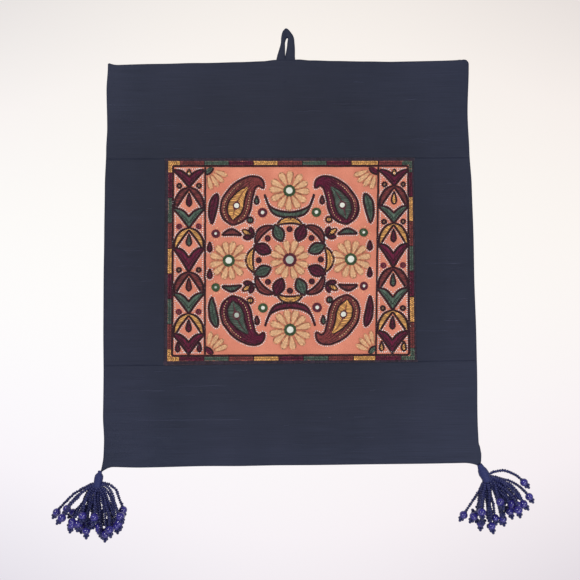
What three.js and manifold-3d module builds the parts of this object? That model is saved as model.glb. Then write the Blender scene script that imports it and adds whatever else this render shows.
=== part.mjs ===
// Mirror work wall hanging: pieced silk strips round an embroidered panel, a cloth loop, two beaded tassels.
// Millimetres, +Z up, front towards -Y. The origin is the crown of the loop's eye, where a nail bears.

import * as THREE from 'three';
import { mergeVertices } from 'three/addons/utils/BufferGeometryUtils.js';
import Module from 'manifold-3d';

const wasm = await Module();
wasm.setup();

// Driving dimensions
const CLOTH_THICK = 3;
const SEAM_GAP = 0.3;

// Turned edges are thin at the rim and puffed just inside it; seams lie in a shallow groove
const HEM = { steps: [0, 0.7, 2.2, 5, 10], share: 0.35, round: 2.2, puff: 0.16, puffAt: 5, puffWidth: 3 };
const SEAM = { steps: [0, 1.2, 3], share: 0.72, round: 3, puff: 0, puffAt: 0, puffWidth: 1 };
const CELL = 24;

// The outline, as uneven as hand sewing leaves it
const LEFT_EDGE = [
  { z: -430, x: -184.6 },
  { z: -378, x: -185.3 },
  { z: -343, x: -184.7 },
  { z: -248, x: -185.4 },
  { z: -151, x: -184.5 },
  { z: -114, x: -183.3 },
  { z: -90, x: -182.1 },
  { z: -53, x: -183.2 },
  { z: -28, x: -181.9 },
];
const RIGHT_EDGE = [
  { z: -430, x: 183.4 },
  { z: -394, x: 183.7 },
  { z: -300, x: 184.6 },
  { z: -252, x: 184.2 },
  { z: -204, x: 184.8 },
  { z: -155, x: 184.3 },
  { z: -119, x: 183.3 },
  { z: -82, x: 182.4 },
  { z: -28, x: 184.4 },
];
const TOP_EDGE = [
  { x: -184, z: -27.2 },
  { x: -123, z: -26.7 },
  { x: -74, z: -26.0 },
  { x: -25, z: -24.9 },
  { x: -12, z: -23.4 },
  { x: 12, z: -23.4 },
  { x: 24, z: -24.8 },
  { x: 48, z: -25.7 },
  { x: 110, z: -27.3 },
  { x: 158, z: -27.1 },
  { x: 184, z: -26.4 },
];
const BOTTOM_EDGE = [
  { x: -184, z: -428.6 },
  { x: -147, z: -429.7 },
  { x: -76, z: -429.1 },
  { x: 65, z: -429.4 },
  { x: 184, z: -428.6 },
];

// Straight seams above and below the panel, and the panel's two sides
const UPPER_SEAM = { z: -124.5, slope: -0.00765 };
const LOWER_SEAM = { z: -330.7, slope: 0.00325 };
const PANEL_MIDDLE = { x: 0.5, z: -227.6 };
const PANEL_LEFT = [
  { z: -330, x: -125.0 },
  { z: -125, x: -123.9 },
];
const PANEL_RIGHT = [
  { z: -330, x: 124.7 },
  { z: -125, x: 126.2 },
];

// The corners are drawn out where they are turned, most at the two that carry tassels
const EARS = [
  { x: -184.6, z: -428.6, pullX: -2.6, pullZ: -4.9, reach: 10 },
  { x: 183.4, z: -428.6, pullX: 1.6, pullZ: -2.9, reach: 13 },
  { x: -181.9, z: -27.2, pullX: -0.8, pullZ: 1.2, reach: 9 },
  { x: 184.4, z: -26.4, pullX: 0.8, pullZ: 1.3, reach: 9 },
];

// How far the cloth stands forward of the wall: at its corners, and in shallow waves at its top and bottom
const CORNER_LEAN = [
  { side: -1, end: 1, forward: 2.6 },
  { side: 1, end: 1, forward: 2.2 },
  { side: -1, end: -1, forward: 3.4 },
  { side: 1, end: -1, forward: 2.8 },
];
const WAVES = [
  { end: 1, length: 150, phase: 0.4, forward: 1.4 },
  { end: -1, length: 118, phase: 0.6, forward: 1.2 },
];
const LEAN_START = { x: 60, z: 104 };
const LEAN_RUN = { x: 124, z: 98 };

// Hanging loop: the two limbs of a bent cloth tube, from just past the crown down to the top edge.
// inX and inZ run along the eye, outX and outZ along the outside; the left limb is twisted edge on, so it is deep
const LOOP_BACK = 1.5;
const LOOP_SIDES = 8;
const LOOP_SQUARENESS = 0.6;
const LOOP_SECTIONS_PER_ROW = 2;
const RIGHT_LIMB = [
  { inX: -0.7, inZ: 0.05, outX: -1.0, outZ: 8.3, depth: 3.2 },
  { inX: 1.6, inZ: -0.9, outX: 3.3, outZ: 6.0, depth: 3.2 },
  { inX: 2.1, inZ: -4.0, outX: 6.9, outZ: 1.0, depth: 3 },
  { inX: 1.9, inZ: -8.5, outX: 8.1, outZ: -5.5, depth: 2.8 },
  { inX: 0.7, inZ: -13.0, outX: 8.4, outZ: -12.5, depth: 2.8 },
  { inX: -0.7, inZ: -17.5, outX: 8.3, outZ: -18.0, depth: 3 },
  { inX: -1.9, inZ: -23.1, outX: 8.6, outZ: -23.1, depth: 3 },
];
const LEFT_LIMB = [
  { inX: -0.3, inZ: 0.05, outX: 0.0, outZ: 8.4, depth: 3.2 },
  { inX: -2.3, inZ: -1.2, outX: -3.6, outZ: 6.2, depth: 4 },
  { inX: -2.7, inZ: -4.5, outX: -5.5, outZ: 1.0, depth: 4.8 },
  { inX: -2.6, inZ: -8.5, outX: -6.0, outZ: -5.5, depth: 4.6 },
  { inX: -2.2, inZ: -13.0, outX: -8.1, outZ: -12.5, depth: 3.6 },
  { inX: -1.7, inZ: -17.8, outX: -10.0, outZ: -18.0, depth: 3 },
  { inX: -0.9, inZ: -23.1, outX: -11.2, outZ: -23.1, depth: 3 },
];

// Tassels: swing is degrees from straight down towards +X, reach runs from the head to the large bead,
// bow is how far the strand arches off a straight line, layer counts beads forward of the wall
const STRAND_RADIUS = 1.25;
const STRAND_STEPS = 5;
const BEAD_RADIUS = 4;
const SEED_RADIUS = 1.75;
const PICOT = { near: 4.0, side: 1.4, far: 5.6 };
const BEAD_LAYERS = [-2.6, -9.8, -17.0];
const HEAD_ROWS = [
  { along: 0, girth: 0 },
  { along: 0.02, girth: 0.45 },
  { along: 0.3, girth: 0.72 },
  { along: 0.7, girth: 1 },
  { along: 1, girth: 0.92 },
  { along: 1.12, girth: 0.5 },
  { along: 1.14, girth: 0 },
];
const TASSELS = [
  {
    name: 'tassel_left',
    top: new THREE.Vector3(-187.4, -4.9, -434.3),
    root: new THREE.Vector3(-189.1, -4.4, -446.4),
    headRadius: 3.1,
    strands: [
      { swing: -56.7, reach: 48.3, bow: -2, layer: 0 },
      { swing: -52, reach: 38, bow: -1, layer: 1 },
      { swing: -46.9, reach: 46, bow: -1.5, layer: 2 },
      { swing: -41.6, reach: 36.6, bow: 1, layer: 0 },
      { swing: -34.9, reach: 43.4, bow: -1, layer: 1 },
      { swing: -24.8, reach: 32.6, bow: -1, layer: 2 },
      { swing: -23.0, reach: 43.8, bow: 1.5, layer: 0 },
      { swing: -13.9, reach: 46.1, bow: -1, layer: 1 },
      { swing: -10.6, reach: 38.4, bow: 0.5, layer: 0 },
      { swing: -5.1, reach: 31.2, bow: 0.5, layer: 2 },
      { swing: 1.8, reach: 43.4, bow: -0.5, layer: 0 },
      { swing: 9.8, reach: 48.6, bow: 1, layer: 1 },
      { swing: 15.9, reach: 44.8, bow: 1, layer: 2 },
      { swing: 18.0, reach: 38.0, bow: 1, layer: 0 },
      { swing: 29.1, reach: 42.7, bow: 2.5, layer: 1 },
      { swing: 36, reach: 38, bow: 3, layer: 2 },
      { swing: 43.6, reach: 34.9, bow: 7, layer: 0 },
    ],
  },
  {
    name: 'tassel_right',
    top: new THREE.Vector3(184.9, -4.3, -432.5),
    root: new THREE.Vector3(191.5, -4.4, -444.9),
    headRadius: 4,
    strands: [
      { swing: -33.8, reach: 42.4, bow: -4, layer: 0 },
      { swing: -21.3, reach: 39.2, bow: -2, layer: 1 },
      { swing: -12, reach: 33, bow: -1, layer: 2 },
      { swing: -9.7, reach: 44.1, bow: -1, layer: 0 },
      { swing: 3.3, reach: 45.8, bow: 0.5, layer: 1 },
      { swing: 1.3, reach: 34.2, bow: -1, layer: 0 },
      { swing: 20.2, reach: 42.0, bow: 1, layer: 0 },
      { swing: 25.2, reach: 25.1, bow: 2, layer: 2 },
      { swing: 33.0, reach: 38.4, bow: 1, layer: 1 },
      { swing: 42.4, reach: 41.4, bow: 2, layer: 2 },
      { swing: 51.8, reach: 31.5, bow: 2, layer: 0 },
      { swing: 53.7, reach: 42.4, bow: 2, layer: 1 },
      { swing: 65.4, reach: 45.1, bow: 4, layer: 0 },
      { swing: 82.6, reach: 35.6, bow: 8, layer: 1 },
    ],
  },
];

// Mirrors: right and up are from the panel's middle, and each row repeats on the sides that it names
const MIRROR_THICK = 1;
const MIRROR_SIDES = 14;
const MIRRORS = [
  { name: 'centre', right: 0, up: 0, radius: 4.5, sides: [[1, 1]] },
  { name: 'end_flower', right: 0, up: 70, radius: 3.8, sides: [[1, 1], [1, -1]] },
  { name: 'side_flower', right: 61, up: 0, radius: 3.8, sides: [[1, 1], [-1, 1]] },
  { name: 'paisley', right: 53, up: 55, radius: 3, sides: [[1, 1], [-1, 1], [1, -1], [-1, -1]] },
  { name: 'spot', right: 27, up: 48, radius: 2.4, sides: [[1, 1], [-1, 1], [1, -1], [-1, -1]] },
  { name: 'corner_spot', right: 74, up: 27, radius: 1.9, sides: [[1, 1], [-1, 1], [1, -1], [-1, -1]] },
];

const LOOKS = {
  silk: { color: 0x1f2130, roughness: 0.72, metalness: 0 },
  embroidery: { color: 0xc9755f, roughness: 0.9, metalness: 0 },
  beads: { color: 0x1c1f63, roughness: 0.3, metalness: 0 },
  mirror: { color: 0xdfe3e6, roughness: 0.08, metalness: 1 },
};

const smooth = (t) => {
  const clamped = THREE.MathUtils.clamp(t, 0, 1);
  return clamped * clamped * (3 - 2 * clamped);
};

// Value of one column of a table at a place along another, eased from row to row
function readTable(rows, from, to, at) {
  if (at <= rows[0][from]) return rows[0][to];
  const next = rows.findIndex((row) => row[from] > at);
  if (next < 0) return rows.at(-1)[to];
  const before = rows[next - 1];
  const share = (at - before[from]) / (rows[next][from] - before[from]);
  return THREE.MathUtils.lerp(before[to], rows[next][to], smooth(share));
}

const leftEdge = (z) => readTable(LEFT_EDGE, 'z', 'x', z);
const rightEdge = (z) => readTable(RIGHT_EDGE, 'z', 'x', z);
const topEdge = (x) => readTable(TOP_EDGE, 'x', 'z', x);
const bottomEdge = (x) => readTable(BOTTOM_EDGE, 'x', 'z', x);
const panelLeft = (z) => readTable(PANEL_LEFT, 'z', 'x', z);
const panelRight = (z) => readTable(PANEL_RIGHT, 'z', 'x', z);
const upperSeam = (x) => UPPER_SEAM.z + UPPER_SEAM.slope * x;
const lowerSeam = (x) => LOWER_SEAM.z + LOWER_SEAM.slope * x;

// Place in Y of the cloth's middle: 0 at the panel, forward of the wall towards the corners and ends
function lean(x, z) {
  const up = z - PANEL_MIDDLE.z;
  const across = smooth((Math.abs(x) - LEAN_START.x) / LEAN_RUN.x);
  const along = smooth((Math.abs(up) - LEAN_START.z) / LEAN_RUN.z);
  const corner = CORNER_LEAN.find((row) => row.side * x >= 0 && row.end * up >= 0);
  const wave = WAVES.find((row) => row.end * up >= 0);
  const crest = 0.5 + 0.5 * Math.sin((2 * Math.PI * x) / wave.length + wave.phase);
  return -(corner.forward * across * along + wave.forward * crest * along);
}

// Moves a point near a corner outwards with the corner
function pulled(x, z) {
  const place = { x, z };
  for (const ear of EARS) {
    const share = 1 - Math.hypot(x - ear.x, z - ear.z) / ear.reach;
    if (share > 0) {
      place.x += ear.pullX * share * share;
      place.z += ear.pullZ * share * share;
    }
  }
  return place;
}

// Grid lines across a piece, close together near its edges, as shares of its length
function gridLines(length, first, last) {
  const end = last.steps.map((step) => length - step).reverse();
  const start = first.steps.at(-1);
  const count = Math.max(1, Math.round((end[0] - start) / CELL));
  const middle = [];
  for (let i = 1; i < count; i += 1) middle.push(start + ((end[0] - start) * i) / count);
  return [...first.steps, ...middle, ...end].map((place) => place / length);
}

// Share of the full thickness at a distance from one edge
function thicknessShare(edge, distance) {
  const inside = 1 - Math.min(distance / edge.round, 1);
  const rim = edge.share + (1 - edge.share) * Math.sqrt(1 - inside * inside);
  const offset = (distance - edge.puffAt) / edge.puffWidth;
  return rim + edge.puff * Math.exp(-offset * offset);
}

// A closed sheet between four edges, each a turned hem or a seam
function sheetGeometry({ left, right, low, high, edges }) {
  const width = right(PANEL_MIDDLE.z) - left(PANEL_MIDDLE.z);
  const height = high(0) - low(0);
  const columns = gridLines(width, edges.left, edges.right);
  const rows = gridLines(height, edges.low, edges.high);
  const front = [];
  const back = [];
  for (const v of rows) {
    for (const u of columns) {
      let x = THREE.MathUtils.lerp(left(0), right(0), u);
      let z = 0;
      for (let pass = 0; pass < 4; pass += 1) {
        z = THREE.MathUtils.lerp(low(x), high(x), v);
        x = THREE.MathUtils.lerp(left(z), right(z), u);
      }
      const half = (CLOTH_THICK / 2) * Math.min(
        thicknessShare(edges.left, u * width),
        thicknessShare(edges.right, (1 - u) * width),
        thicknessShare(edges.low, v * height),
        thicknessShare(edges.high, (1 - v) * height),
      );
      const place = pulled(x, z);
      const middle = lean(x, z);
      front.push(place.x, middle - half, place.z);
      back.push(place.x, middle + half, place.z);
    }
  }
  return closedGrid(front, back, columns.length, rows.length);
}

// Joins a front and a back grid with a wall round the rim
function closedGrid(front, back, columns, rows) {
  const behind = columns * rows;
  const index = [];
  for (let j = 0; j + 1 < rows; j += 1) {
    for (let i = 0; i + 1 < columns; i += 1) {
      const a = j * columns + i;
      const b = a + 1;
      const c = b + columns;
      const d = a + columns;
      index.push(a, b, c, a, c, d);
      index.push(a + behind, c + behind, b + behind, a + behind, d + behind, c + behind);
    }
  }
  const rim = [];
  for (let i = 0; i + 1 < columns; i += 1) rim.push(i);
  for (let j = 0; j + 1 < rows; j += 1) rim.push(j * columns + columns - 1);
  for (let i = columns - 1; i > 0; i -= 1) rim.push((rows - 1) * columns + i);
  for (let j = rows - 1; j > 0; j -= 1) rim.push(j * columns);
  rim.forEach((p, k) => {
    const q = rim[(k + 1) % rim.length];
    index.push(p, p + behind, q, q, p + behind, q + behind);
  });
  const geometry = new THREE.BufferGeometry();
  geometry.setAttribute('position', new THREE.Float32BufferAttribute([...front, ...back], 3));
  geometry.setIndex(index);
  geometry.computeVertexNormals();
  return geometry;
}

function topStripGeometry() {
  return sheetGeometry({
    left: leftEdge,
    right: rightEdge,
    low: (x) => upperSeam(x) + SEAM_GAP,
    high: topEdge,
    edges: { left: HEM, right: HEM, low: SEAM, high: HEM },
  });
}

function bottomStripGeometry() {
  return sheetGeometry({
    left: leftEdge,
    right: rightEdge,
    low: bottomEdge,
    high: (x) => lowerSeam(x) - SEAM_GAP,
    edges: { left: HEM, right: HEM, low: HEM, high: SEAM },
  });
}

function leftStripGeometry() {
  return sheetGeometry({
    left: leftEdge,
    right: (z) => panelLeft(z) - SEAM_GAP,
    low: lowerSeam,
    high: upperSeam,
    edges: { left: HEM, right: SEAM, low: SEAM, high: SEAM },
  });
}

function rightStripGeometry() {
  return sheetGeometry({
    left: (z) => panelRight(z) + SEAM_GAP,
    right: rightEdge,
    low: lowerSeam,
    high: upperSeam,
    edges: { left: SEAM, right: HEM, low: SEAM, high: SEAM },
  });
}

function panelGeometry() {
  return sheetGeometry({
    left: panelLeft,
    right: panelRight,
    low: lowerSeam,
    high: upperSeam,
    edges: { left: SEAM, right: SEAM, low: SEAM, high: SEAM },
  });
}

// Rings of points joined into a closed tube with flat ends
function ringsGeometry(rings) {
  const sides = rings[0].length;
  const index = [];
  for (let j = 0; j + 1 < rings.length; j += 1) {
    for (let i = 0; i < sides; i += 1) {
      const a = j * sides + i;
      const b = j * sides + ((i + 1) % sides);
      index.push(a, b, a + sides, b, b + sides, a + sides);
    }
  }
  const last = (rings.length - 1) * sides;
  for (let i = 1; i + 1 < sides; i += 1) {
    index.push(0, i + 1, i);
    index.push(last, last + i, last + i + 1);
  }
  const geometry = new THREE.BufferGeometry();
  const points = rings.flat().flatMap((point) => point.toArray());
  geometry.setAttribute('position', new THREE.Float32BufferAttribute(points, 3));
  geometry.setIndex(index);
  return geometry;
}

// One limb of the loop as a tube of flattened sections; way is 1 where its sections run towards +X
function limbSolid(rows, way) {
  const curve = (x, z) => new THREE.SplineCurve(rows.map((row) => new THREE.Vector2(row[x], row[z])));
  const inner = curve('inX', 'inZ');
  const outer = curve('outX', 'outZ');
  const count = LOOP_SECTIONS_PER_ROW * (rows.length - 1);
  const squared = (value) => Math.sign(value) * Math.abs(value) ** LOOP_SQUARENESS;
  const rings = [];
  for (let j = 0; j <= count; j += 1) {
    const near = inner.getPoint(j / count);
    const far = outer.getPoint(j / count);
    const row = j / LOOP_SECTIONS_PER_ROW;
    const next = rows[Math.min(Math.floor(row) + 1, rows.length - 1)];
    const depth = THREE.MathUtils.lerp(rows[Math.floor(row)].depth, next.depth, row % 1);
    const ring = [];
    for (let i = 0; i < LOOP_SIDES; i += 1) {
      const angle = (2 * Math.PI * (i + 0.5)) / LOOP_SIDES;
      const flat = near.clone().lerp(far, 0.5 - 0.5 * squared(Math.cos(angle)));
      const y = LOOP_BACK - depth / 2 + (way * squared(Math.sin(angle)) * depth) / 2;
      ring.push(new THREE.Vector3(flat.x, y, flat.y));
    }
    rings.push(ring);
  }
  return solidOf(ringsGeometry(rings));
}

function loopGeometry() {
  return geometryOf(limbSolid(RIGHT_LIMB, 1).add(limbSolid(LEFT_LIMB, -1)));
}

// A closed geometry as a solid that can be joined to others
function solidOf(geometry) {
  const bare = new THREE.BufferGeometry();
  bare.setAttribute('position', geometry.getAttribute('position').clone());
  if (geometry.index) bare.setIndex(geometry.index.clone());
  const merged = mergeVertices(bare, 1e-4);
  const mesh = new wasm.Mesh({
    numProp: 3,
    vertProperties: new Float32Array(merged.getAttribute('position').array),
    triVerts: new Uint32Array(merged.index.array),
  });
  mesh.merge();
  return new wasm.Manifold(mesh);
}

function geometryOf(solid) {
  const mesh = solid.getMesh();
  const geometry = new THREE.BufferGeometry();
  geometry.setAttribute('position', new THREE.BufferAttribute(new Float32Array(mesh.vertProperties), 3));
  geometry.setIndex(new THREE.BufferAttribute(new Uint32Array(mesh.triVerts), 1));
  geometry.computeVertexNormals();
  return geometry;
}

function largeBead(centre) {
  const geometry = new THREE.SphereGeometry(BEAD_RADIUS, 8, 5);
  geometry.translate(centre.x, centre.y, centre.z);
  return solidOf(geometry);
}

// An eight-faced bead with its corners along the strand's direction and to its sides
function seedBead(centre, out, side) {
  const geometry = new THREE.OctahedronGeometry(SEED_RADIUS);
  geometry.applyMatrix4(new THREE.Matrix4().makeBasis(out, side, out.clone().cross(side)));
  geometry.translate(centre.x, centre.y, centre.z);
  return solidOf(geometry);
}

// The bound head, turned about the line from the cloth's corner to the strands' root
function headSolid({ top, root, headRadius }) {
  const length = root.distanceTo(top);
  const profile = HEAD_ROWS.map((row) => new THREE.Vector2(row.girth * headRadius, -row.along * length));
  const geometry = new THREE.LatheGeometry(profile.reverse(), 9);
  const down = new THREE.Vector3(0, -1, 0);
  const turn = new THREE.Quaternion().setFromUnitVectors(down, root.clone().sub(top).normalize());
  geometry.applyQuaternion(turn);
  geometry.translate(top.x, top.y, top.z);
  return solidOf(geometry);
}

// One beaded strand with its large bead and the picot of three seed beads at its end
function strandSolids(root, { swing, reach, bow, layer }) {
  const angle = THREE.MathUtils.degToRad(swing);
  const away = new THREE.Vector3(Math.sin(angle), 0, -Math.cos(angle));
  const aside = new THREE.Vector3(Math.cos(angle), 0, Math.sin(angle));
  const bead = root.clone().addScaledVector(away, reach);
  bead.y = BEAD_LAYERS[layer];
  const middle = root.clone().lerp(bead, 0.5).addScaledVector(aside, 2 * bow);
  const path = new THREE.QuadraticBezierCurve3(root.clone(), middle, bead.clone());
  const section = new THREE.Shape();
  section.moveTo(STRAND_RADIUS, 0);
  section.lineTo(0, STRAND_RADIUS);
  section.lineTo(-STRAND_RADIUS, 0);
  section.lineTo(0, -STRAND_RADIUS);
  section.closePath();
  const tube = new THREE.ExtrudeGeometry(section, { steps: STRAND_STEPS, extrudePath: path });
  const out = path.getTangent(1);
  const side = new THREE.Vector3(0, 1, 0).cross(out).normalize();
  const picot = [-1, 1].map((way) => bead.clone()
    .addScaledVector(out, PICOT.near)
    .addScaledVector(side, way * PICOT.side));
  picot.push(bead.clone().addScaledVector(out, PICOT.far));
  return [solidOf(tube), largeBead(bead), ...picot.map((place) => seedBead(place, out, side))];
}

function tasselGeometry(tassel) {
  let whole = headSolid(tassel);
  for (const strand of tassel.strands) {
    for (const piece of strandSolids(tassel.root, strand)) whole = whole.add(piece);
  }
  return geometryOf(whole);
}

const part = new THREE.Group();

function addNode(name, geometry, look) {
  const mesh = new THREE.Mesh(geometry, new THREE.MeshStandardMaterial(LOOKS[look]));
  mesh.name = name;
  part.add(mesh);
  return mesh;
}

addNode('top_strip', topStripGeometry(), 'silk');
addNode('bottom_strip', bottomStripGeometry(), 'silk');
addNode('left_strip', leftStripGeometry(), 'silk');
addNode('right_strip', rightStripGeometry(), 'silk');
addNode('embroidered_panel', panelGeometry(), 'embroidery');
addNode('hanging_loop', loopGeometry(), 'silk');
for (const tassel of TASSELS) addNode(tassel.name, tasselGeometry(tassel), 'beads');

for (const { name, right, up, radius, sides } of MIRRORS) {
  sides.forEach(([mirrorX, mirrorZ], i) => {
    const disc = new THREE.CylinderGeometry(radius, radius, MIRROR_THICK, MIRROR_SIDES);
    const mesh = addNode(`mirror_${name}_${i + 1}`, disc, 'mirror');
    mesh.position.set(
      PANEL_MIDDLE.x + mirrorX * right,
      -(CLOTH_THICK / 2 + SEAM_GAP + MIRROR_THICK / 2),
      PANEL_MIDDLE.z + mirrorZ * up,
    );
  });
}

export default part;
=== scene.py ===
# A mirror work wall hanging: silk strips round an embroidered panel, a cloth loop and two beaded tassels.
# Lengths are millimetres in the row frame unless a name ends in _M. Panel places are (right, up, height):
# right and up from the panel's middle, and height in front of its face.
import math
import random

import bpy
import numpy as np
from mathutils import Matrix, Vector, noise


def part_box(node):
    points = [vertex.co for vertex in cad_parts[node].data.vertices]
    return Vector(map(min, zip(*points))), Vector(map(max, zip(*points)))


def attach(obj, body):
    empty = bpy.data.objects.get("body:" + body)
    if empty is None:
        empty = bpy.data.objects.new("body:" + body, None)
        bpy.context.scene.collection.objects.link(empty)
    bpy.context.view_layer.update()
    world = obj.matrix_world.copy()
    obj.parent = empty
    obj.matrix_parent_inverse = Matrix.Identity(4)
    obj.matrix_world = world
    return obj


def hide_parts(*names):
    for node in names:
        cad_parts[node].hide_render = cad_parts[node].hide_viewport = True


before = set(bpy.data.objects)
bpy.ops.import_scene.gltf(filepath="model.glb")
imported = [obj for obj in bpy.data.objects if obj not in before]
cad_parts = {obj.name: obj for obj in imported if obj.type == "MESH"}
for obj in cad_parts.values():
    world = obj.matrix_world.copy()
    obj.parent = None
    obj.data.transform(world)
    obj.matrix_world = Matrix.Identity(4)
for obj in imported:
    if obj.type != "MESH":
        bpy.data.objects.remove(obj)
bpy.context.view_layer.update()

MM = 0.001
rng = random.Random(7)

# Camera: it looks up a little from below the middle, so the lower edge is nearer, and is a little askew
PHOTO_SIDE = 580
PIXELS_PER_MM = 1.0024
CAMERA_DISTANCE = 700
CAMERA_TARGET = (0.4, -1.5, -257.8)
CAMERA_TILT_DEG = 3.6
CAMERA_ROLL_DEG = 0.663
SENSOR_WIDTH = 36
LIGHT_TARGET_M = (0, 0, -0.23)
FLOOR_HALF_M = 1.9
FLOOR_LEVEL_M = -1.35

# Cloth
CLOTH_THICK = 3
SEAM_GAP = -0.15
FINE_CELL = 2.1
HEM = dict(steps=(0, 0.35, 0.8, 1.5, 2.4, 3.8, 5.4), share=0.35, round=2.2,
           puff=0.16, puff_at=5, puff_width=3)
SEAM = dict(steps=(0, 0.5, 1.1, 1.9, 3.0), share=0.62, round=3, puff=0.05, puff_at=4.5, puff_width=1.6)

LEFT_EDGE = ((-430, -184.4), (-405, -183.9), (-378, -185.4), (-343, -185.5), (-296, -186.0), (-248, -186.0),
             (-200, -185.6), (-151, -185.2), (-114, -184.0), (-90, -182.9), (-53, -183.4), (-28, -182.0))
RIGHT_EDGE = ((-430, 184.6), (-426, 186.0), (-421, 186.3), (-416, 185.4), (-410, 183.9), (-394, 183.7),
              (-336, 185.1), (-300, 185.3), (-252, 184.9), (-204, 185.3), (-155, 184.9), (-119, 183.5),
              (-82, 182.4), (-28, 184.4))
TOP_EDGE = ((-184, -26.9), (-129, -26.2), (-89, -25.1), (-49, -24.2), (-25, -23.7), (-12, -22.6),
            (12, -22.7), (24, -23.8), (48, -24.6), (80, -25.2), (110, -26.0), (158, -26.4), (184, -26.0))
BOTTOM_EDGE = ((-184, -429.4), (-147, -430.6), (-89, -430.1), (-49, -430.7), (-9, -430.3), (65, -430.5),
               (184, -429.6))
PANEL_LEFT = ((-330, -125.0), (-125, -123.9))
PANEL_RIGHT = ((-330, 124.7), (-125, 126.2))
UPPER_SEAM = (-124.5, -0.00765)
LOWER_SEAM = (-330.7, 0.00325)
PANEL_MIDDLE = (0.5, -227.6)

# Corners drawn out: x, z, pull in x, pull in z, reach
EARS = ((-184.6, -428.6, -2.6, -6.0, 10), (184.6, -429.2, -0.4, -3.6, 16),
        (-180.4, -27.0, 0, 2.0, 9), (184.4, -26.2, -2.0, -0.6, 4), (175.0, -26.2, 0, 0.4, 3),
        (179.6, -26.2, 0, 0.6, 3))
# Lean forward of the wall at each corner, by (side, end), and in waves at the two ends
CORNER_LEAN = {(-1, 1): 2.6, (1, 1): 2.2, (-1, -1): 3.4, (1, -1): 2.8}
WAVES = {1: dict(length=150, phase=0.4, forward=1.4), -1: dict(length=118, phase=0.6, forward=1.2)}
LEAN_START = (60, 104)
LEAN_RUN = (124, 98)

# Soft creases left by folding and handling: from, to, half width, height (a trough is below zero)
CREASES = (
    ((-150, -38), (-128, -118), 7, -0.35), ((118, -52), (150, -112), 8, 0.4),
    ((148, -128), (156, -322), 6, -0.35), ((-158, -150), (-150, -300), 7, 0.3),
    ((-120, -352), (-20, -366), 6, -0.35), ((40, -404), (150, -372), 8, 0.4),
    ((-60, -60), (60, -72), 9, -0.3), ((-165, -395), (-110, -415), 7, 0.4),
)
CREASE_FADE = 0.2
CREASE_WANDER = 2.5
TACK = dict(at=(-0.2, -46.7), radius=3.4, depth=0.9, fall=2.2)
PUCKER = dict(at=3, width=3.2, height=0.22, pitch=0.16)
# Slub threads that show as pale streaks: left end and length, from the photo's clearest ones
SLUBS = ((7, -76.5, 35), (-100, -72, 40), (-183, -68, 12), (118, -66, 14),
         (-178, -356, 70), (-120, -352, 60), (-160, -385, 130), (20, -384, 60),
         (110, -300, 50), (-176, -232, 38), (132, -233, 46), (150, -290, 24))

# Loop: the two limbs of a bent cloth tube, each row inner x, z, outer x, z and depth
LOOP_BACK = 1.5
RIGHT_LIMB = (
    (1.1, -0.4, 3.6, 7.4, 3.2), (0.6, -4.0, 7.2, 1.6, 3.0),
    (0.1, -8.5, 8.1, -5.5, 2.8), (-0.7, -13.0, 8.4, -12.5, 2.8),
    (-1.6, -17.5, 8.3, -18.0, 3.0), (-1.9, -23.6, 8.6, -23.6, 3.0),
)
LEFT_LIMB = (
    (-0.4, -0.9, -3.9, 7.4, 4.0), (-1.6, -4.5, -5.6, 1.4, 4.8),
    (-1.7, -8.5, -6.2, -5.5, 4.6), (-1.7, -13.0, -8.2, -12.5, 3.6),
    (-1.7, -17.8, -10.0, -18.0, 3.0), (-0.9, -23.6, -11.2, -23.6, 3.0),
)
CROWN = (0.5, 0.3, -0.4, 10.6, 3.3)

# Tassels: swing from straight down, reach to the large bead, arch of the strand, layer forward of the wall
BEAD_RADIUS = 4
PICOT_RADIUS = 1.7
SEED_RADIUS = 1.6
SEED_PITCH = 2.15
THREAD_RADIUS = 0.7
BEAD_LAYERS = (-2.6, -9.8, -17.0)
ROOT_SPREAD = 3.0
LOADED_SHARE = 0.3
SWAY = 0.9
# Hidden strands between two front ones, at the left and at the right of the tassel
CROWD = (2, 3)
# The three seeds at a strand's end: how far past the large bead's middle, and how far to the side
PICOTS = ((4.3, 1.45), (4.3, -1.45), (6.3, 0))
PICOT_TURN = 0.6
TASSEL_LEFT = dict(
    top=(-187.4, -4.9, -434.3), root=(-189.8, -4.4, -446.4), radius=4.1, crowd_swing=33,
    girth=((-0.1, 0.46), (0.08, 0.5), (0.16, 0.75), (0.28, 0.95), (0.45, 0.98), (0.8, 0.95), (1.0, 1.0),
           (1.14, 1.0), (1.22, 0.6)),
    strands=((-56.7, 48.0, -4.6, 0), (-52.5, 35.2, -3, 1), (-47.3, 41.5, -3.6, 2), (-41.6, 36.2, 1, 0),
             (-34.2, 40.8, 0, 1), (-22, 28.5, -4, 2), (-23.0, 43.3, -4.5, 0), (-12, 43.7, -3.5, 1),
             (-10.2, 38, -2.5, 0), (1, 28, -1, 2), (2, 43, -0.5, 0), (12, 47, 2.5, 1),
             (21, 42.8, 3, 2), (18.5, 37.6, 4, 0), (32.5, 42, 5, 1), (43, 37.4, 5, 2), (44.5, 35, 8, 0)))
TASSEL_RIGHT = dict(
    top=(184.4, -4.3, -432.5), root=(190.0, -4.4, -444.9), radius=4.8, crowd_swing=58,
    girth=((-0.12, 0.5), (-0.02, 0.55), (0.12, 0.65), (0.35, 0.9), (0.6, 1.0), (0.85, 0.9), (1.0, 0.85),
           (1.14, 0.9), (1.22, 0.6)),
    strands=((-33, 41.6, 0.8, 0), (-23, 37.6, 1, 1), (-17, 30.2, -1, 2), (-8.5, 43.6, -1, 0),
             (3, 44, 0.5, 1), (3, 33.8, -1, 0), (21.6, 42, 3, 0), (25, 21.5, 3, 2),
             (34, 36.6, 4, 1), (44, 37.8, 5, 2), (53.5, 32, 5, 0), (55.5, 41, 6, 1),
             (66.5, 45.6, 6, 0), (85.5, 35, 8.5, 1)))

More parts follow.
